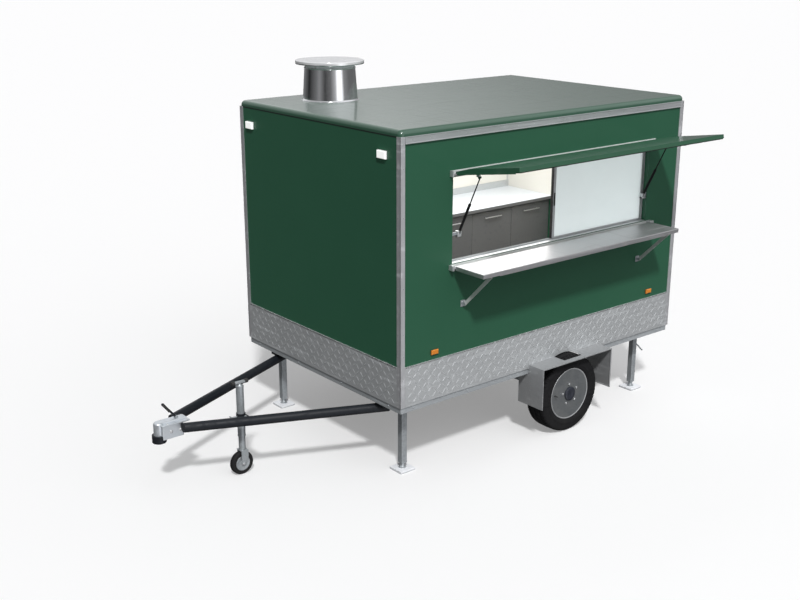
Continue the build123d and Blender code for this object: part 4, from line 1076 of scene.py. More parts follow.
# %% Linings
BOARD = 5 * MM
door_y0, door_y1 = door_lo.y - 6 * MM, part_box("door_hinges")[1].y - 30 * MM
worktop_lo, worktop_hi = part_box("counter_top")
hood_lo, hood_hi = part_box("extractor_hood")
top_z = ceiling_z - BOARD
BOARDS = {
    "lining_right": ((inner_rear_x, inner_right_y, worktop_hi.z),
                     (inner_front_x, inner_right_y + BOARD, top_z)),
    "lining_front": ((inner_front_x - BOARD, inner_right_y, floor_z), (inner_front_x, inner_left_y, top_z)),
    "lining_rear_right": ((inner_rear_x, inner_right_y, worktop_hi.z),
                          (inner_rear_x + BOARD, door_y0 - 0.01, top_z)),
    "lining_rear_left": ((inner_rear_x, door_y1 + 0.01, floor_z),
                         (inner_rear_x + BOARD, inner_left_y, top_z)),
    "lining_over_door": ((inner_rear_x, door_y0 - 0.01, door_hi.z + 0.02),
                         (inner_rear_x + BOARD, door_y1 + 0.01, top_z)),
    "lining_under_hatch": ((inner_rear_x, inner_left_y - BOARD, floor_z + 0.04),
                           (inner_front_x, inner_left_y, frame_lo.z)),
    "lining_over_hatch": ((inner_rear_x, inner_left_y - BOARD, frame_hi.z),
                          (inner_front_x, inner_left_y, top_z)),
    "lining_before_hatch": ((frame_hi.x, inner_left_y - BOARD, frame_lo.z),
                            (inner_front_x, inner_left_y, frame_hi.z)),
    "lining_behind_hatch": ((inner_rear_x, inner_left_y - BOARD, frame_lo.z),
                            (frame_lo.x, inner_left_y, frame_hi.z)),
    "lining_ceiling": ((inner_rear_x, hood_hi.y + 0.02, top_z), (inner_front_x, inner_left_y, ceiling_z)),
    "lining_ceiling_rear": ((inner_rear_x, inner_right_y, top_z),
                            (hood_lo.x - 0.02, hood_hi.y + 0.02, ceiling_z)),
}
for name, (low, high) in BOARDS.items():
    bm = bmesh.new()
    slab(bm, low, high)
    piece(name, bm, "cream_lining", rounding=1 * MM)
bm = bmesh.new()
slab(bm, (inner_rear_x, door_lo.y + 0.045, door_lo.z + 0.04),
     (inner_rear_x + 4 * MM, door_hi.y - 0.06, door_hi.z - 0.045))
piece("lining_door", bm, "cream_lining", "door", rounding=1 * MM)
print("boards:", len(BOARDS) + 1)

# %% Cover strips on the joints
STRIP_W, STRIP_D = 11 * MM, 2 * MM
bm = bmesh.new()
wall_face = inner_right_y + BOARD
for x in spaced(inner_rear_x + 0.01, inner_front_x - 0.01, 0.98):
    slab(bm, (x - STRIP_W, wall_face, worktop_hi.z), (x + STRIP_W, wall_face + STRIP_D, top_z))
slab(bm, (inner_rear_x, wall_face, worktop_hi.z),
     (hood_lo.x - 0.2, wall_face + 12 * MM, worktop_hi.z + 60 * MM))
for x in spaced(inner_rear_x + 0.2, inner_front_x - 0.2, 0.85):
    slab(bm, (x - STRIP_W, hood_hi.y + 0.03, top_z - STRIP_D), (x + STRIP_W, inner_left_y - 0.02, top_z))
piece("lining_cover_strips", bm, "window_alloy", rounding=0.8 * MM)
print("strip width:", 2 * STRIP_W)

# %% [markdown]
# A long ceiling lamp lights the cabin. Its housing is a piece of the trailer; the
# light itself is an area lamp just under the diffuser, so that the linings glow and
# the worktop stays bright although the hatch is in the flap's shade.

# %% The cabin lamp
CABIN_WATTS = 34
lamp_x, lamp_y = -0.9, -0.15
bm = bmesh.new()
slab(bm, (lamp_x - 0.62, lamp_y - 0.05, top_z - 22 * MM), (lamp_x + 0.62, lamp_y + 0.05, top_z))
piece("cabin_lamp_body", bm, "plate_white", rounding=5 * MM)
bm = bmesh.new()
slab(bm, (lamp_x - 0.60, lamp_y - 0.04, top_z - 48 * MM), (lamp_x + 0.60, lamp_y + 0.04, top_z - 20 * MM))
piece("cabin_lamp_diffuser", bm, "lamp_clear", rounding=12 * MM, segments=4)
light = bpy.data.objects.new("cabin_light", bpy.data.lights.new("cabin_light", "AREA"))
light.data.shape = "RECTANGLE"
light.data.size, light.data.size_y = 2.2, 0.9
light.data.energy = CABIN_WATTS
light.location = (lamp_x, lamp_y, top_z - 0.06)
bpy.context.scene.collection.objects.link(light)
print("cabin lamp at", light.location)

# %% [markdown]
# The counter is a run of cupboards under a laminate top. Doors are slabs a little
# proud of the carcass, with gaps of 3 mm between them, and each has a slim handle.
# The top's front edge carries a dark band.

# %% Cupboard doors and the edge band
GAP = 3 * MM
cab_lo, cab_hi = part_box("counter_cabinet")
edges = spaced(cab_lo.x + 0.02, cab_hi.x - 0.02, 0.48)
doors, grips = bmesh.new(), bmesh.new()
for x0, x1 in zip(edges, edges[1:]):
    slab(doors, (x0 + GAP / 2, cab_hi.y, cab_lo.z + 0.09),
         (x1 - GAP / 2, cab_hi.y + 14 * MM, cab_hi.z - 0.02))
    grip_z = cab_hi.z - 0.07
    for x in (x0 + 0.16, x1 - 0.16):
        rod(grips, (x, cab_hi.y + 14 * MM, grip_z), (x, cab_hi.y + 34 * MM, grip_z), 3 * MM, 8)
    rod(grips, (x0 + 0.14, cab_hi.y + 34 * MM, grip_z), (x1 - 0.14, cab_hi.y + 34 * MM, grip_z), 5 * MM, 10)
piece("cupboard_doors", doors, "cabinet_grey", rounding=1.5 * MM)
piece("cupboard_handles", grips, "kitchen_steel")
bm = bmesh.new()
slab(bm, (worktop_lo.x, worktop_hi.y, worktop_lo.z),
     (worktop_hi.x, worktop_hi.y + 2 * MM, worktop_hi.z - 1 * MM))
piece("worktop_edge_band", bm, "cabinet_grey", rounding=0.8 * MM)
print("cupboard doors:", len(edges) - 1)

# %% [markdown]
# The cooker has four burners under pan supports, six knobs on its front and an oven
# door. A pan support is two crossed bars with upturned tips; the burner under it is
# a stack of turned rings.

# %% The cooker
range_lo, range_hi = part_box("cooking_range")
burners, grates, knobs, oven = bmesh.new(), bmesh.new(), bmesh.new(), bmesh.new()
mid_y = (range_lo.y + range_hi.y) / 2
for x in (range_lo.x + 0.22, range_hi.x - 0.22):
    for y in (mid_y - 0.14, mid_y + 0.14):
        lathe(burners, (x, y, range_hi.z), (0, 0, 1),
              ((0, 0.062), (8 * MM, 0.060), (10 * MM, 0.040), (20 * MM, 0.038),
                                                     (24 * MM, 0.032), (24 * MM, 0)), 28)
        for dx, dy in ((1, 0), (0, 1), (-1, 0), (0, -1)):
            tip = Vector((x + dx * 0.12, y + dy * 0.12, range_hi.z + 30 * MM))
            rod(grates, (x + dx * 0.02, y + dy * 0.02, range_hi.z + 30 * MM), tip, 5 * MM, 8)
            rod(grates, (tip.x, tip.y, range_hi.z), (tip.x, tip.y, range_hi.z + 36 * MM), 5 * MM, 8)
for x in spaced(range_lo.x + 0.12, range_hi.x - 0.12, 0.12):
    lathe(knobs, (x, range_hi.y, range_hi.z - 0.07), (0, 1, 0),
          ((0, 26 * MM), (6 * MM, 25 * MM), (7 * MM, 18 * MM),
                                                              (24 * MM, 16 * MM), (26 * MM, 13 * MM),
                                                              (26 * MM, 0)), 20)
slab(oven, (range_lo.x + 0.06, range_hi.y, range_lo.z + 0.12),
     (range_hi.x - 0.06, range_hi.y + 16 * MM, range_hi.z - 0.16))
rod(oven, (range_lo.x + 0.14, range_hi.y + 40 * MM, range_hi.z - 0.21),
    (range_hi.x - 0.14, range_hi.y + 40 * MM, range_hi.z - 0.21), 8 * MM, 12)
for x in (range_lo.x + 0.17, range_hi.x - 0.17):
    rod(oven, (x, range_hi.y + 10 * MM, range_hi.z - 0.21), (x, range_hi.y + 40 * MM, range_hi.z - 0.21),
        6 * MM, 10)
piece("burners", burners, "black_steel")
piece("pan_supports", grates, "black_steel")
piece("cooker_knobs", knobs, "black_plastic")
piece("oven_door", oven, "kitchen_steel", rounding=2 * MM)
bm = bmesh.new()
RIM_D = 9 * MM
for low, high in (((hood_lo.x, hood_hi.y, hood_lo.z), (hood_hi.x, hood_hi.y + RIM_D, hood_lo.z + 30 * MM)),
                  ((hood_lo.x - RIM_D, hood_lo.y, hood_lo.z),
                   (hood_lo.x, hood_hi.y + RIM_D, hood_lo.z + 30 * MM)),
                  ((hood_hi.x, hood_lo.y, hood_lo.z),
                   (hood_hi.x + RIM_D, hood_hi.y + RIM_D, hood_lo.z + 30 * MM))):
    slab(bm, low, high)
piece("hood_rim", bm, "kitchen_steel", rounding=2 * MM)
print("burners:", 4)

# %% [markdown]
# ## The hatch
# The flap is drawn level here and then turned about its hinge, which is how a joiner
# would fit its parts on a bench. It gets a light lining below, a rubber seal that
# faces the wall when the hatch is shut, a cheek at each end, two latches and the blocks
# that take the struts' upper eyes.

# %% Turn a bench-drawn part up to the open flap
hinge = next(joint for joint in frame["joints"] if joint["name"] == "hatch_hinge")
axis_y, axis_z = hinge["pos_m"][1], hinge["pos_m"][2]
OPEN_BY = math.radians(9.2)
flap_lo, flap_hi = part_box("hatch_flap")
FLAP_TO = 645 * MM


def turn_up(bm):
    """Turn all points from the level flap to the open one."""
    pivot = Vector((0, axis_y, axis_z))
    bmesh.ops.rotate(bm, cent=pivot, matrix=Matrix.Rotation(OPEN_BY, 3, "X"), verts=bm.verts)


def on_flap(x, s, t):
    """A point on the level flap: along it, away from its hinge, above its underside."""
    return Vector((x, axis_y + s, axis_z + t))


print("flap is open by", round(math.degrees(OPEN_BY), 1), "degrees more than level")

# %% Lining, seal and end cheeks
SEAL_W, SEAL_T = 9 * MM, 6 * MM
strut_lo, strut_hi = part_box("strut_cylinders")
bm = bmesh.new()
slab(bm, on_flap(flap_lo.x + 0.07, 0.035, -1.5 * MM), on_flap(flap_hi.x - 0.10, FLAP_TO - 0.03, 0))
turn_up(bm)
piece("flap_lining", bm, "cream_lining", "hatch", rounding=0.6 * MM)
bm = bmesh.new()
x0, x1 = flap_lo.x + 7 * MM, flap_hi.x - 7 * MM
slab(bm, on_flap(x0, 0.03, -SEAL_T), on_flap(x0 + SEAL_W, FLAP_TO - 2 * MM, 0))
slab(bm, on_flap(x1 - SEAL_W, 0.03, -SEAL_T), on_flap(x1, FLAP_TO - 2 * MM, 0))
slab(bm, on_flap(x0, FLAP_TO - 2 * MM - SEAL_W, -SEAL_T), on_flap(x1, FLAP_TO - 2 * MM, 0))
turn_up(bm)
piece("flap_seal", bm, "seal_rubber", "hatch", rounding=2.5 * MM)
bm = bmesh.new()
CHEEK, CHEEK_DEEP = 4 * MM, 11 * MM
for x0, x1 in ((flap_lo.x, flap_lo.x + CHEEK), (flap_hi.x - CHEEK, flap_hi.x)):
    slab(bm, on_flap(x0, 0.032, -CHEEK_DEEP), on_flap(x1, FLAP_TO - 0.04, 0))
turn_up(bm)
piece("flap_cheeks", bm, "green_flap", "hatch", rounding=1 * MM)
print("seal:", SEAL_W, "by", SEAL_T)

# %% Latches and strut blocks
bm = bmesh.new()
for x in (flap_lo.x + 0.45, flap_hi.x - 0.45):
    slab(bm, on_flap(x - 0.03, FLAP_TO - 0.075, -5 * MM), on_flap(x + 0.03, FLAP_TO - 0.02, 0))
    slab(bm, on_flap(x - 0.012, FLAP_TO - 0.055, -9 * MM), on_flap(x + 0.012, FLAP_TO - 0.012, -4 * MM))
turn_up(bm)
piece("flap_latches", bm, "zinc", "hatch", rounding=1.5 * MM)
STRUT_XS = (strut_hi.x - 10 * MM, strut_lo.x + 10 * MM)
HEAD_S = 165 * MM
bm = bmesh.new()
for x in STRUT_XS:
    slab(bm, on_flap(x + 11 * MM, HEAD_S - 15 * MM, -34 * MM), on_flap(x + 21 * MM, HEAD_S + 15 * MM, 0))
    slab(bm, on_flap(x + 7 * MM, HEAD_S - 22 * MM, -6 * MM), on_flap(x + 32 * MM, HEAD_S + 22 * MM, 0))
turn_up(bm)
piece("strut_head_blocks", bm, "window_alloy", "hatch", rounding=1.5 * MM)
strut_foot = next(joint for joint in frame["joints"] if joint["name"] == "strut_lean")
foot_y, foot_z = strut_foot["pos_m"][1], strut_foot["pos_m"][2]
bm = bmesh.new()
for x in STRUT_XS:
    slab(bm, (x + 8 * MM, foot_y - 15 * MM, foot_z - 26 * MM),
         (x + 24 * MM, foot_y + 14 * MM, foot_z + 17 * MM))
    slab(bm, (x - 14 * MM, foot_y - 15 * MM, foot_z - 26 * MM),
         (x - 7 * MM, foot_y + 12 * MM, foot_z + 12 * MM))
    slab(bm, (x - 14 * MM, foot_y - 15 * MM, foot_z - 26 * MM),
         (x + 24 * MM, foot_y + 12 * MM, foot_z - 12 * MM))
piece("strut_foot_blocks", bm, "window_alloy", rounding=1.5 * MM)
print("strut blocks at x:", [round(x, 3) for x in STRUT_XS])

# %% [markdown]
# Both hinges are long aluminium rails with knuckles. A knuckle here is a collar a
# little wider than the hinge's rod, so that from a distance the rod reads as a row of
# short tubes. At each end a square block closes the rail.

# %% Hinge knuckles and end blocks
rails_lo, rails_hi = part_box("hinge_rails")
shelf_joint = next(joint for joint in frame["joints"] if joint["name"] == "shelf_hinge")
shelf_y, shelf_z = shelf_joint["pos_m"][1], shelf_joint["pos_m"][2]
knuckles, blocks = bmesh.new(), bmesh.new()
for y, z, radius in ((axis_y, axis_z, 14 * MM), (shelf_y, shelf_z, 9.8 * MM)):
    places = spaced(rails_lo.x + 0.05, rails_hi.x - 0.03, 0.085)
    for start, end in list(zip(places, places[1:]))[::2]:
        lathe(knuckles, (start, y, z), (1, 0, 0), ((0, radius - 2 * MM), (1 * MM, radius),
                                                   (end - start - 1 * MM, radius),
                                                   (end - start, radius - 2 * MM)), 20)
piece("hinge_knuckles", knuckles, "aluminium_rail")
slab(blocks, (flap_hi.x + 6 * MM, left_y, axis_z - 22 * MM),
     (rails_hi.x + 1 * MM, axis_y + 15 * MM, axis_z + 22 * MM))
shelf_lo, shelf_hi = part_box("serving_shelf")
for x0, x1 in ((rails_lo.x - 1 * MM, shelf_lo.x - 6 * MM), (shelf_hi.x + 6 * MM, rails_hi.x + 1 * MM)):
    slab(blocks, (x0, left_y, shelf_z - 18 * MM), (x1, shelf_y + 12 * MM, shelf_z + 20 * MM))
piece("hinge_end_blocks", blocks, "window_alloy", rounding=2.5 * MM)
print("end blocks done")

# %% [markdown]
# ## The serving shelf
# A steel shelf is folded from one sheet: its outer edge turns down and back, which
# shows as a rounded bright nose with a lip. Three low channels stiffen it below.

# %% Shelf nose, end caps and channels
bm = bmesh.new()
nose_r = 5 * MM
CHANNEL_XS = (-1.25, -0.75, -0.25)
STAY_HALF = 3 * MM
rod(bm, (shelf_lo.x, shelf_hi.y - nose_r, shelf_hi.z - nose_r),
    (shelf_hi.x, shelf_hi.y - nose_r, shelf_hi.z - nose_r), nose_r + 0.8 * MM, 16)
slab(bm, (shelf_lo.x - 1 * MM, shelf_lo.y + 4 * MM, shelf_lo.z + 3 * MM),
     (shelf_lo.x, shelf_hi.y - 4 * MM, shelf_hi.z))
slab(bm, (shelf_hi.x, shelf_lo.y + 4 * MM, shelf_lo.z + 3 * MM),
     (shelf_hi.x + 1 * MM, shelf_hi.y - 4 * MM, shelf_hi.z))
piece("shelf_nose", bm, "shelf_steel", "shelf", rounding=0.4 * MM)
bm = bmesh.new()
for x in CHANNEL_XS:
    slab(bm, (x - 14 * MM, shelf_lo.y + 30 * MM, shelf_lo.z - 7 * MM),
         (x + 14 * MM, shelf_hi.y - 14 * MM, shelf_lo.z))
slab(bm, (shelf_lo.x + 0.11, shelf_hi.y - 12 * MM, shelf_lo.z - 5 * MM),
     (shelf_hi.x - 0.16, shelf_hi.y - 2 * MM, shelf_lo.z))
piece("shelf_channels", bm, "shelf_steel", "shelf", rounding=1 * MM)
bm = bmesh.new()
stays_lo, stays_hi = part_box("shelf_stays")
stay_pin_z = next(joint for joint in frame["joints"] if joint["name"] == "stay_fold")["pos_m"][2]
for x in (stays_lo.x + STAY_HALF, stays_hi.x - STAY_HALF):
    for y in (-6 * MM, 6 * MM):
        rivet(bm, (x + 14 * MM, left_y + 4 * MM, stay_pin_z + 2.4 * y), (0, 1, 0), 4 * MM, 3 * MM)
        rivet(bm, (x - 14 * MM, left_y + 4 * MM, stay_pin_z + 2.4 * y), (0, 1, 0), 4 * MM, 3 * MM)
piece("stay_bracket_screws", bm, "bright_bolt")
print("shelf is", round(shelf_hi.y - shelf_lo.y, 3), "m deep")

# %% [markdown]
# ## The window
# The opening is cased with thin alloy above and below. On the sill two tracks
# carry the sliding panes, and each pane has a finger pull on its stile.

# %% Casing, tracks and pulls
CASE = 1.6 * MM
bm = bmesh.new()
slab(bm, (hatch_x0, inner_left_y, hatch_z0), (hatch_x1, left_y + 1 * MM, hatch_z0 + CASE))
slab(bm, (hatch_x0, inner_left_y, hatch_z1 - CASE), (hatch_x1, left_y + 1 * MM, hatch_z1))
piece("opening_casing", bm, "window_alloy", rounding=0.5 * MM)
panes_lo, panes_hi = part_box("pane_frames")
bm = bmesh.new()
for y in (panes_lo.y - 1.5 * MM, (panes_lo.y + panes_hi.y) / 2, panes_hi.y + 1.5 * MM):
    slab(bm, (panes_hi.x + 3 * MM, y - 1 * MM, hatch_z0), (hatch_x1, y + 1 * MM, hatch_z0 + 7 * MM))
    slab(bm, (panes_hi.x + 3 * MM, y - 1 * MM, hatch_z1 - 12 * MM), (hatch_x1, y + 1 * MM, hatch_z1))
piece("window_tracks", bm, "window_alloy", rounding=0.4 * MM)
bm = bmesh.new()
mid_z = (hatch_z0 + hatch_z1) / 2
slab(bm, (panes_hi.x - 19 * MM, panes_hi.y, mid_z - 0.05),
     (panes_hi.x - 9 * MM, panes_hi.y + 5 * MM, mid_z + 0.05))
slab(bm, (panes_hi.x - 2 * MM, panes_lo.y, hatch_z0 + 6 * MM),
     (panes_hi.x + 2 * MM, panes_hi.y, hatch_z1 - 6 * MM))
piece("pane_pull_and_brush", bm, "black_plastic", rounding=1 * MM)
print("opening:", round(hatch_x1 - hatch_x0, 3), "by", round(hatch_z1 - hatch_z0, 3))

# %% [markdown]
# ## Rear door
# A flush door with a rubber seal round it, a rose under the handle, a lock below and
# screws through each hinge leaf. The seal stays on the door.

# %% Door furniture
FACE = rear_x
DOOR_HINGE_ZS = (1.0, 1.6, 2.3)
bm = bmesh.new()
SEAL = 8 * MM
for low, high in (((FACE - 2 * MM, door_lo.y, door_hi.z - SEAL), (FACE, door_hi.y, door_hi.z)),
                  ((FACE - 2 * MM, door_lo.y, kick_hi.z), (FACE, door_lo.y + SEAL, door_hi.z)),
                  ((FACE - 2 * MM, door_hi.y - SEAL, kick_hi.z), (FACE, door_hi.y, door_hi.z))):
    slab(bm, low, high)
piece("door_seal", bm, "seal_rubber", "door", rounding=0.8 * MM)
bm = bmesh.new()
handle_y, handle_z = door_lo.y + 40 * MM, 1.501
slab(bm, (FACE - 5 * MM, handle_y - 22 * MM, handle_z - 0.13), (FACE, handle_y + 22 * MM, handle_z + 0.05))
piece("door_handle_rose", bm, "zinc", "door", rounding=3 * MM)
bm = bmesh.new()
lathe(bm, (FACE - 5 * MM, handle_y, handle_z - 0.085), (-1, 0, 0),
      ((0, 13 * MM), (3 * MM, 12 * MM), (5 * MM, 9 * MM), (5 * MM, 0)), 20)
for z in DOOR_HINGE_ZS:
    for dz in (-24 * MM, 0, 24 * MM):
        rivet(bm, (FACE - 4 * MM, door_hi.y - 28 * MM, z + dz), (-1, 0, 0), 4.5 * MM, 1.5 * MM)
piece("door_lock_and_screws", bm, "bright_bolt", "door")
bm = bmesh.new()
for z in DOOR_HINGE_ZS:
    for dz in (-24 * MM, 0, 24 * MM):
        rivet(bm, (FACE - 4 * MM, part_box("door_hinges")[1].y - 14 * MM, z + dz), (-1, 0, 0), 4.5 * MM,
              1.5 * MM)
piece("hinge_screws", bm, "bright_bolt")
print("door height:", round(door_hi.z - door_lo.z, 3))

# %% [markdown]
# ## Flue and cap
# The flue is a rolled sheet with one upright seam, a wired top edge and a collar on
# the roof. The collar is bedded on sealant and held by screws. A white guard closes
# the gap under the cap against birds, and the cap's edge is turned over.

# %% Collar, seam, wired edge and cap ring
flue_lo, flue_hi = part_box("flue")
flue_at = Vector(((flue_lo.x + flue_hi.x) / 2, (flue_lo.y + flue_hi.y) / 2, flue_lo.z))
base_r, top_r = (flue_hi.x - flue_lo.x) / 2, 199.5 * MM
tall = flue_hi.z - flue_lo.z
UP = Vector((0, 0, 1))
bm = bmesh.new()
lathe(bm, flue_at, UP,
      ((0, base_r + 10 * MM), (2 * MM, base_r + 10 * MM), (3 * MM, base_r + 5 * MM),
       (12 * MM, base_r + 0.5 * MM),
                        (14 * MM, base_r - 3 * MM)), 96)
lathe(bm, flue_at + UP * (tall - 6 * MM), UP,
      ((-4 * MM, top_r - 1 * MM), (0, top_r + 2.5 * MM), (4 * MM, top_r + 3 * MM), (6 * MM, top_r + 1 * MM),
                                               (6 * MM, top_r - 5 * MM), (0, top_r - 5 * MM)), 96)
piece("flue_collar_and_wire", bm, "polished_steel")
bm = bmesh.new()
turn = math.radians(200)
out = Vector((math.cos(turn), math.sin(turn), 0))
rod(bm, flue_at + out * base_r, flue_at + out * top_r + UP * tall, 3 * MM, 8)
piece("flue_seam", bm, "polished_steel")
bm = bmesh.new()
for k in range(16):
    turn = 2 * math.pi * (k + 0.5) / 16
    rivet(bm, flue_at + Vector((math.cos(turn), math.sin(turn), 0)) * (base_r + 5 * MM) + UP * 3 * MM, UP,
          3 * MM, 2 * MM)
piece("flue_screws", bm, "bright_bolt")
bm = bmesh.new()
cap_lo, cap_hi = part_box("flue_cap")
cap_r = (cap_hi.x - cap_lo.x) / 2
cap_z0 = cap_hi.z - 23 * MM
lathe(bm, flue_at + UP * (tall - 3 * MM), UP,
      ((0, top_r - 9 * MM), (2 * MM, top_r - 7 * MM), (33 * MM, top_r - 7 * MM),
       (34 * MM, top_r - 10 * MM)), 72)
piece("flue_neck_guard", bm, "pad_zinc")
bm = bmesh.new()
lathe(bm, (flue_at.x, flue_at.y, cap_z0), UP,
      ((-5 * MM, cap_r - 6 * MM), (-5 * MM, cap_r - 1 * MM), (-2 * MM, cap_r + 0.5 * MM),
       (3 * MM, cap_r + 0.5 * MM),
                                               (6 * MM, cap_r - 0.5 * MM)), 128)
piece("cap_ring", bm, "polished_steel")
print("flue radius:", round(base_r, 3), "to", round(top_r, 3))

# %% [markdown]
# ## Drawbar, coupling and jockey wheel
# Two bolts go crosswise through the coupling and both drawbar arms; their heads and
# nuts show on its sides. The hand lever has a rubber grip. The jockey wheel's bracket
# is clamped with a small T handle.

# %% Coupling bolts, ridge and lever grip
coup_lo, coup_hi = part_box("coupling")
coup_y = (coup_lo.y + coup_hi.y) / 2
CROSS_BOLT_Z = 462 * MM
HOUSING_TOP_Z = 520 * MM
LEVER_PIN_Z = 540 * MM
bm = bmesh.new()
for x in (coup_lo.x + 0.075, coup_lo.x + 0.150):
    for out in (1, -1):
        hexagon(bm, (x, coup_y + out * 54 * MM, CROSS_BOLT_Z), (0, out, 0), 9 * MM, 10 * MM)
for dx, dy in ((0.022, 0.045), (0.022, -0.045), (0.175, 0.045), (0.175, -0.045)):
    hexagon(bm, (coup_lo.x + dx, coup_y + dy, HOUSING_TOP_Z), (0, 0, 1), 6.5 * MM, 6 * MM)
piece("coupling_bolts", bm, "bright_bolt", rounding=0.6 * MM)
bm = bmesh.new()
for dy in (-33 * MM, 33 * MM):
    slab(bm, (coup_lo.x + 0.04, coup_y + dy - 2 * MM, HOUSING_TOP_Z - 0.5 * MM),
         (coup_hi.x - 0.075, coup_y + dy + 2 * MM, HOUSING_TOP_Z + 3.5 * MM))
piece("coupling_ribs", bm, "coupling_metal", rounding=1.2 * MM)
lever_lo, lever_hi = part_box("coupling_lever")
foot = Vector((lever_lo.x + 8 * MM, coup_y, lever_lo.z))
head = Vector((lever_hi.x - 8 * MM, coup_y, lever_hi.z - 6 * MM))
way = (head - foot).normalized()
bm = bmesh.new()
long = (head - foot).length
lathe(bm, foot, way,
      ((long * 0.45, 8.3 * MM), (long * 0.47, 11 * MM), (long * 0.6, 10 * MM), (long * 0.8, 10 * MM),
       (long * 0.96, 11 * MM), (long * 0.99, 8.3 * MM)), 20)
piece("lever_grip", bm, "black_plastic")
bm = bmesh.new()
lathe(bm, (foot.x - 2 * MM, coup_y - 16 * MM, LEVER_PIN_Z), (0, 1, 0),
      ((0, 0), (0, 11 * MM), (32 * MM, 11 * MM), (32 * MM, 0)), 20)
piece("lever_pivot", bm, "zinc", rounding=1.5 * MM)
print("lever grip done")

# %% Jockey wheel details
jack_lo, jack_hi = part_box("jockey_tube")
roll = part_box("jockey_wheel")
axle_at = (roll[0] + roll[1]) / 2
jack_x, jack_y = (jack_lo.x + jack_hi.x) / 2, axle_at.y
TUBE_TOP_Z = 694 * MM
CRANK_Z = 719 * MM
CLAMP_Z = 459 * MM
bm = bmesh.new()
for out in (1, -1):
    lathe(bm, axle_at + Vector((0, out * 22.5 * MM, 0)), (0, out, 0),
          ((-1 * MM, 58 * MM), (1 * MM, 57 * MM), (1.5 * MM, 53 * MM), (0.4 * MM, 50 * MM),
                                                                     (0.4 * MM, 24 * MM),
                                                                     (2.5 * MM, 22 * MM),
                                                                     (2.5 * MM, 8 * MM), (-1 * MM, 8 * MM)),
                                                                     36)
piece("jockey_hub_plates", bm, "zinc", "jockey_roller")
bm = bmesh.new()
for out in (1, -1):
    hexagon(bm, (axle_at.x, axle_at.y + out * 35.5 * MM, axle_at.z), (0, out, 0), 9 * MM, 8 * MM)
piece("jockey_pin_nuts", bm, "bright_bolt", "jockey_swivel", rounding=0.6 * MM)
bm = bmesh.new()
for z in (jack_lo.z + 4 * MM, TUBE_TOP_Z - 6 * MM):
    lathe(bm, (jack_x, jack_y, z), UP,
          ((-3 * MM, 28.4 * MM), (-2 * MM, 30 * MM), (5 * MM, 30 * MM), (6 * MM, 28.4 * MM)), 28)
lathe(bm, (jack_x, jack_y, TUBE_TOP_Z), UP,
      ((0, 22 * MM), (6 * MM, 20 * MM), (12 * MM, 14 * MM), (17 * MM, 13 * MM), (18 * MM, 0)), 28)
piece("jockey_collars", bm, "zinc")
bm = bmesh.new()
for out in (1, -1):
    lathe(bm, (jack_x + out * 40 * MM, jack_y, CRANK_Z), (out, 0, 0),
          ((0, 12 * MM), (2 * MM, 16 * MM), (26 * MM, 16 * MM), (28.5 * MM, 12 * MM), (28.5 * MM, 0)), 20)
piece("jockey_crank_grips", bm, "black_plastic")
bm = bmesh.new()
clamp = Vector((jack_x + 34 * MM, jack_y, CLAMP_Z))
rod(bm, clamp, clamp + Vector((46 * MM, 0, 0)), 6 * MM, 12)
rod(bm, clamp + Vector((42 * MM, -30 * MM, 0)), clamp + Vector((42 * MM, 30 * MM, 0)), 5 * MM, 12)
for dy in (0.045, 0.085):
    hexagon(bm, (jack_x - 12 * MM, jack_y + dy, CLAMP_Z + 6 * MM), UP, 7 * MM, 7 * MM)
piece("jockey_clamp", bm, "zinc", rounding=0.8 * MM)
print("jockey wheel radius:", round(axle_at.z, 3))
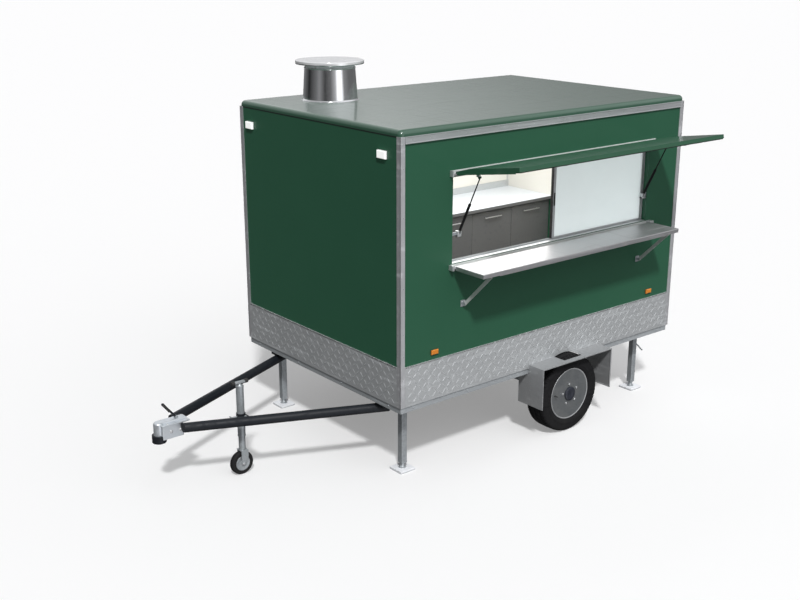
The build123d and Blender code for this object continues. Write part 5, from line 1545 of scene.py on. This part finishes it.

# %% [markdown]
# ## Support legs
# Each leg swings on a bolt between two cheeks and stands on a screw with a plate. The
# screw's thread is a stack of rings, close enough to a helix at this size. The plate is
# painted near white, a lit copy of the zinc: painted light for its sunlit top.

# %% Threads, pad tops and pivot bolts
PITCH = 5 * MM
for side in ("front_left", "front_right", "rear_left", "rear_right"):
    low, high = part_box(side + "_leg")
    joint = next(j for j in frame["joints"] if j["name"] == side + "_stand_fold")
    foot = Vector((joint["pos_m"][0], joint["pos_m"][1], 0))
    body = side + "_stand"
    bm = bmesh.new()
    profile = []
    for k in range(8):
        profile += [(17 * MM + k * PITCH, 17.2 * MM), (17 * MM + (k + 0.5) * PITCH, 19 * MM)]
    profile.append((57 * MM, 17.2 * MM))
    lathe(bm, foot, UP, profile, 28)
    lathe(bm, foot, UP, ((17 * MM, 30 * MM), (21 * MM, 28 * MM), (24 * MM, 20 * MM), (24 * MM, 17 * MM)), 28)
    piece(side + "_leg_screw", bm, "zinc", body)
    bm = bmesh.new()
    half = 68.8 * MM
    slab(bm, (foot.x - half, foot.y - half, 1.5 * MM), (foot.x + half, foot.y + half, 17.5 * MM))
    # The pad plate's near white finish is painted light, a lit copy of the zinc for its sunlit top.
    piece(side + "_pad_plate", bm, "pad_zinc", body, rounding=3.5 * MM, segments=3)
    bm = bmesh.new()
    for out in (1, -1):
        hexagon(bm, (foot.x, foot.y + out * 33 * MM, joint["pos_m"][2]), (0, out, 0), 11 * MM, 10 * MM)
    piece(side + "_pivot_bolts", bm, "bright_bolt", rounding=0.8 * MM)
print("thread pitch:", PITCH)

# %% [markdown]
# ## Sill and chassis
# The sill rail under the body is held by bolts through its web, one under every
# second panel joint.

# %% Sill bolts
SILL_STEP = 0.62
sill_lo, sill_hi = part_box("sill_rail")
sill_z = (sill_lo.z + sill_hi.z) / 2
bm = bmesh.new()
for y, out in ((sill_hi.y, 1), (sill_lo.y, -1)):
    for x0, x1 in ((sill_lo.x, guard_lo.x), (guard_hi.x, sill_hi.x)):
        for x in spaced(x0 + 0.12, x1 - 0.12, SILL_STEP):
            hexagon(bm, (x, y, sill_z), (0, out, 0), 5.5 * MM, 5 * MM)
for y in spaced(sill_lo.y + 0.14, sill_hi.y - 0.14, SILL_STEP):
    hexagon(bm, (sill_hi.x, y, sill_z), (1, 0, 0), 5.5 * MM, 5 * MM)
    hexagon(bm, (sill_lo.x, y, sill_z), (-1, 0, 0), 5.5 * MM, 5 * MM)
piece("sill_bolts", bm, "grey_rail")
print("sill rail:", round(sill_hi.z - sill_lo.z, 3), "m high")
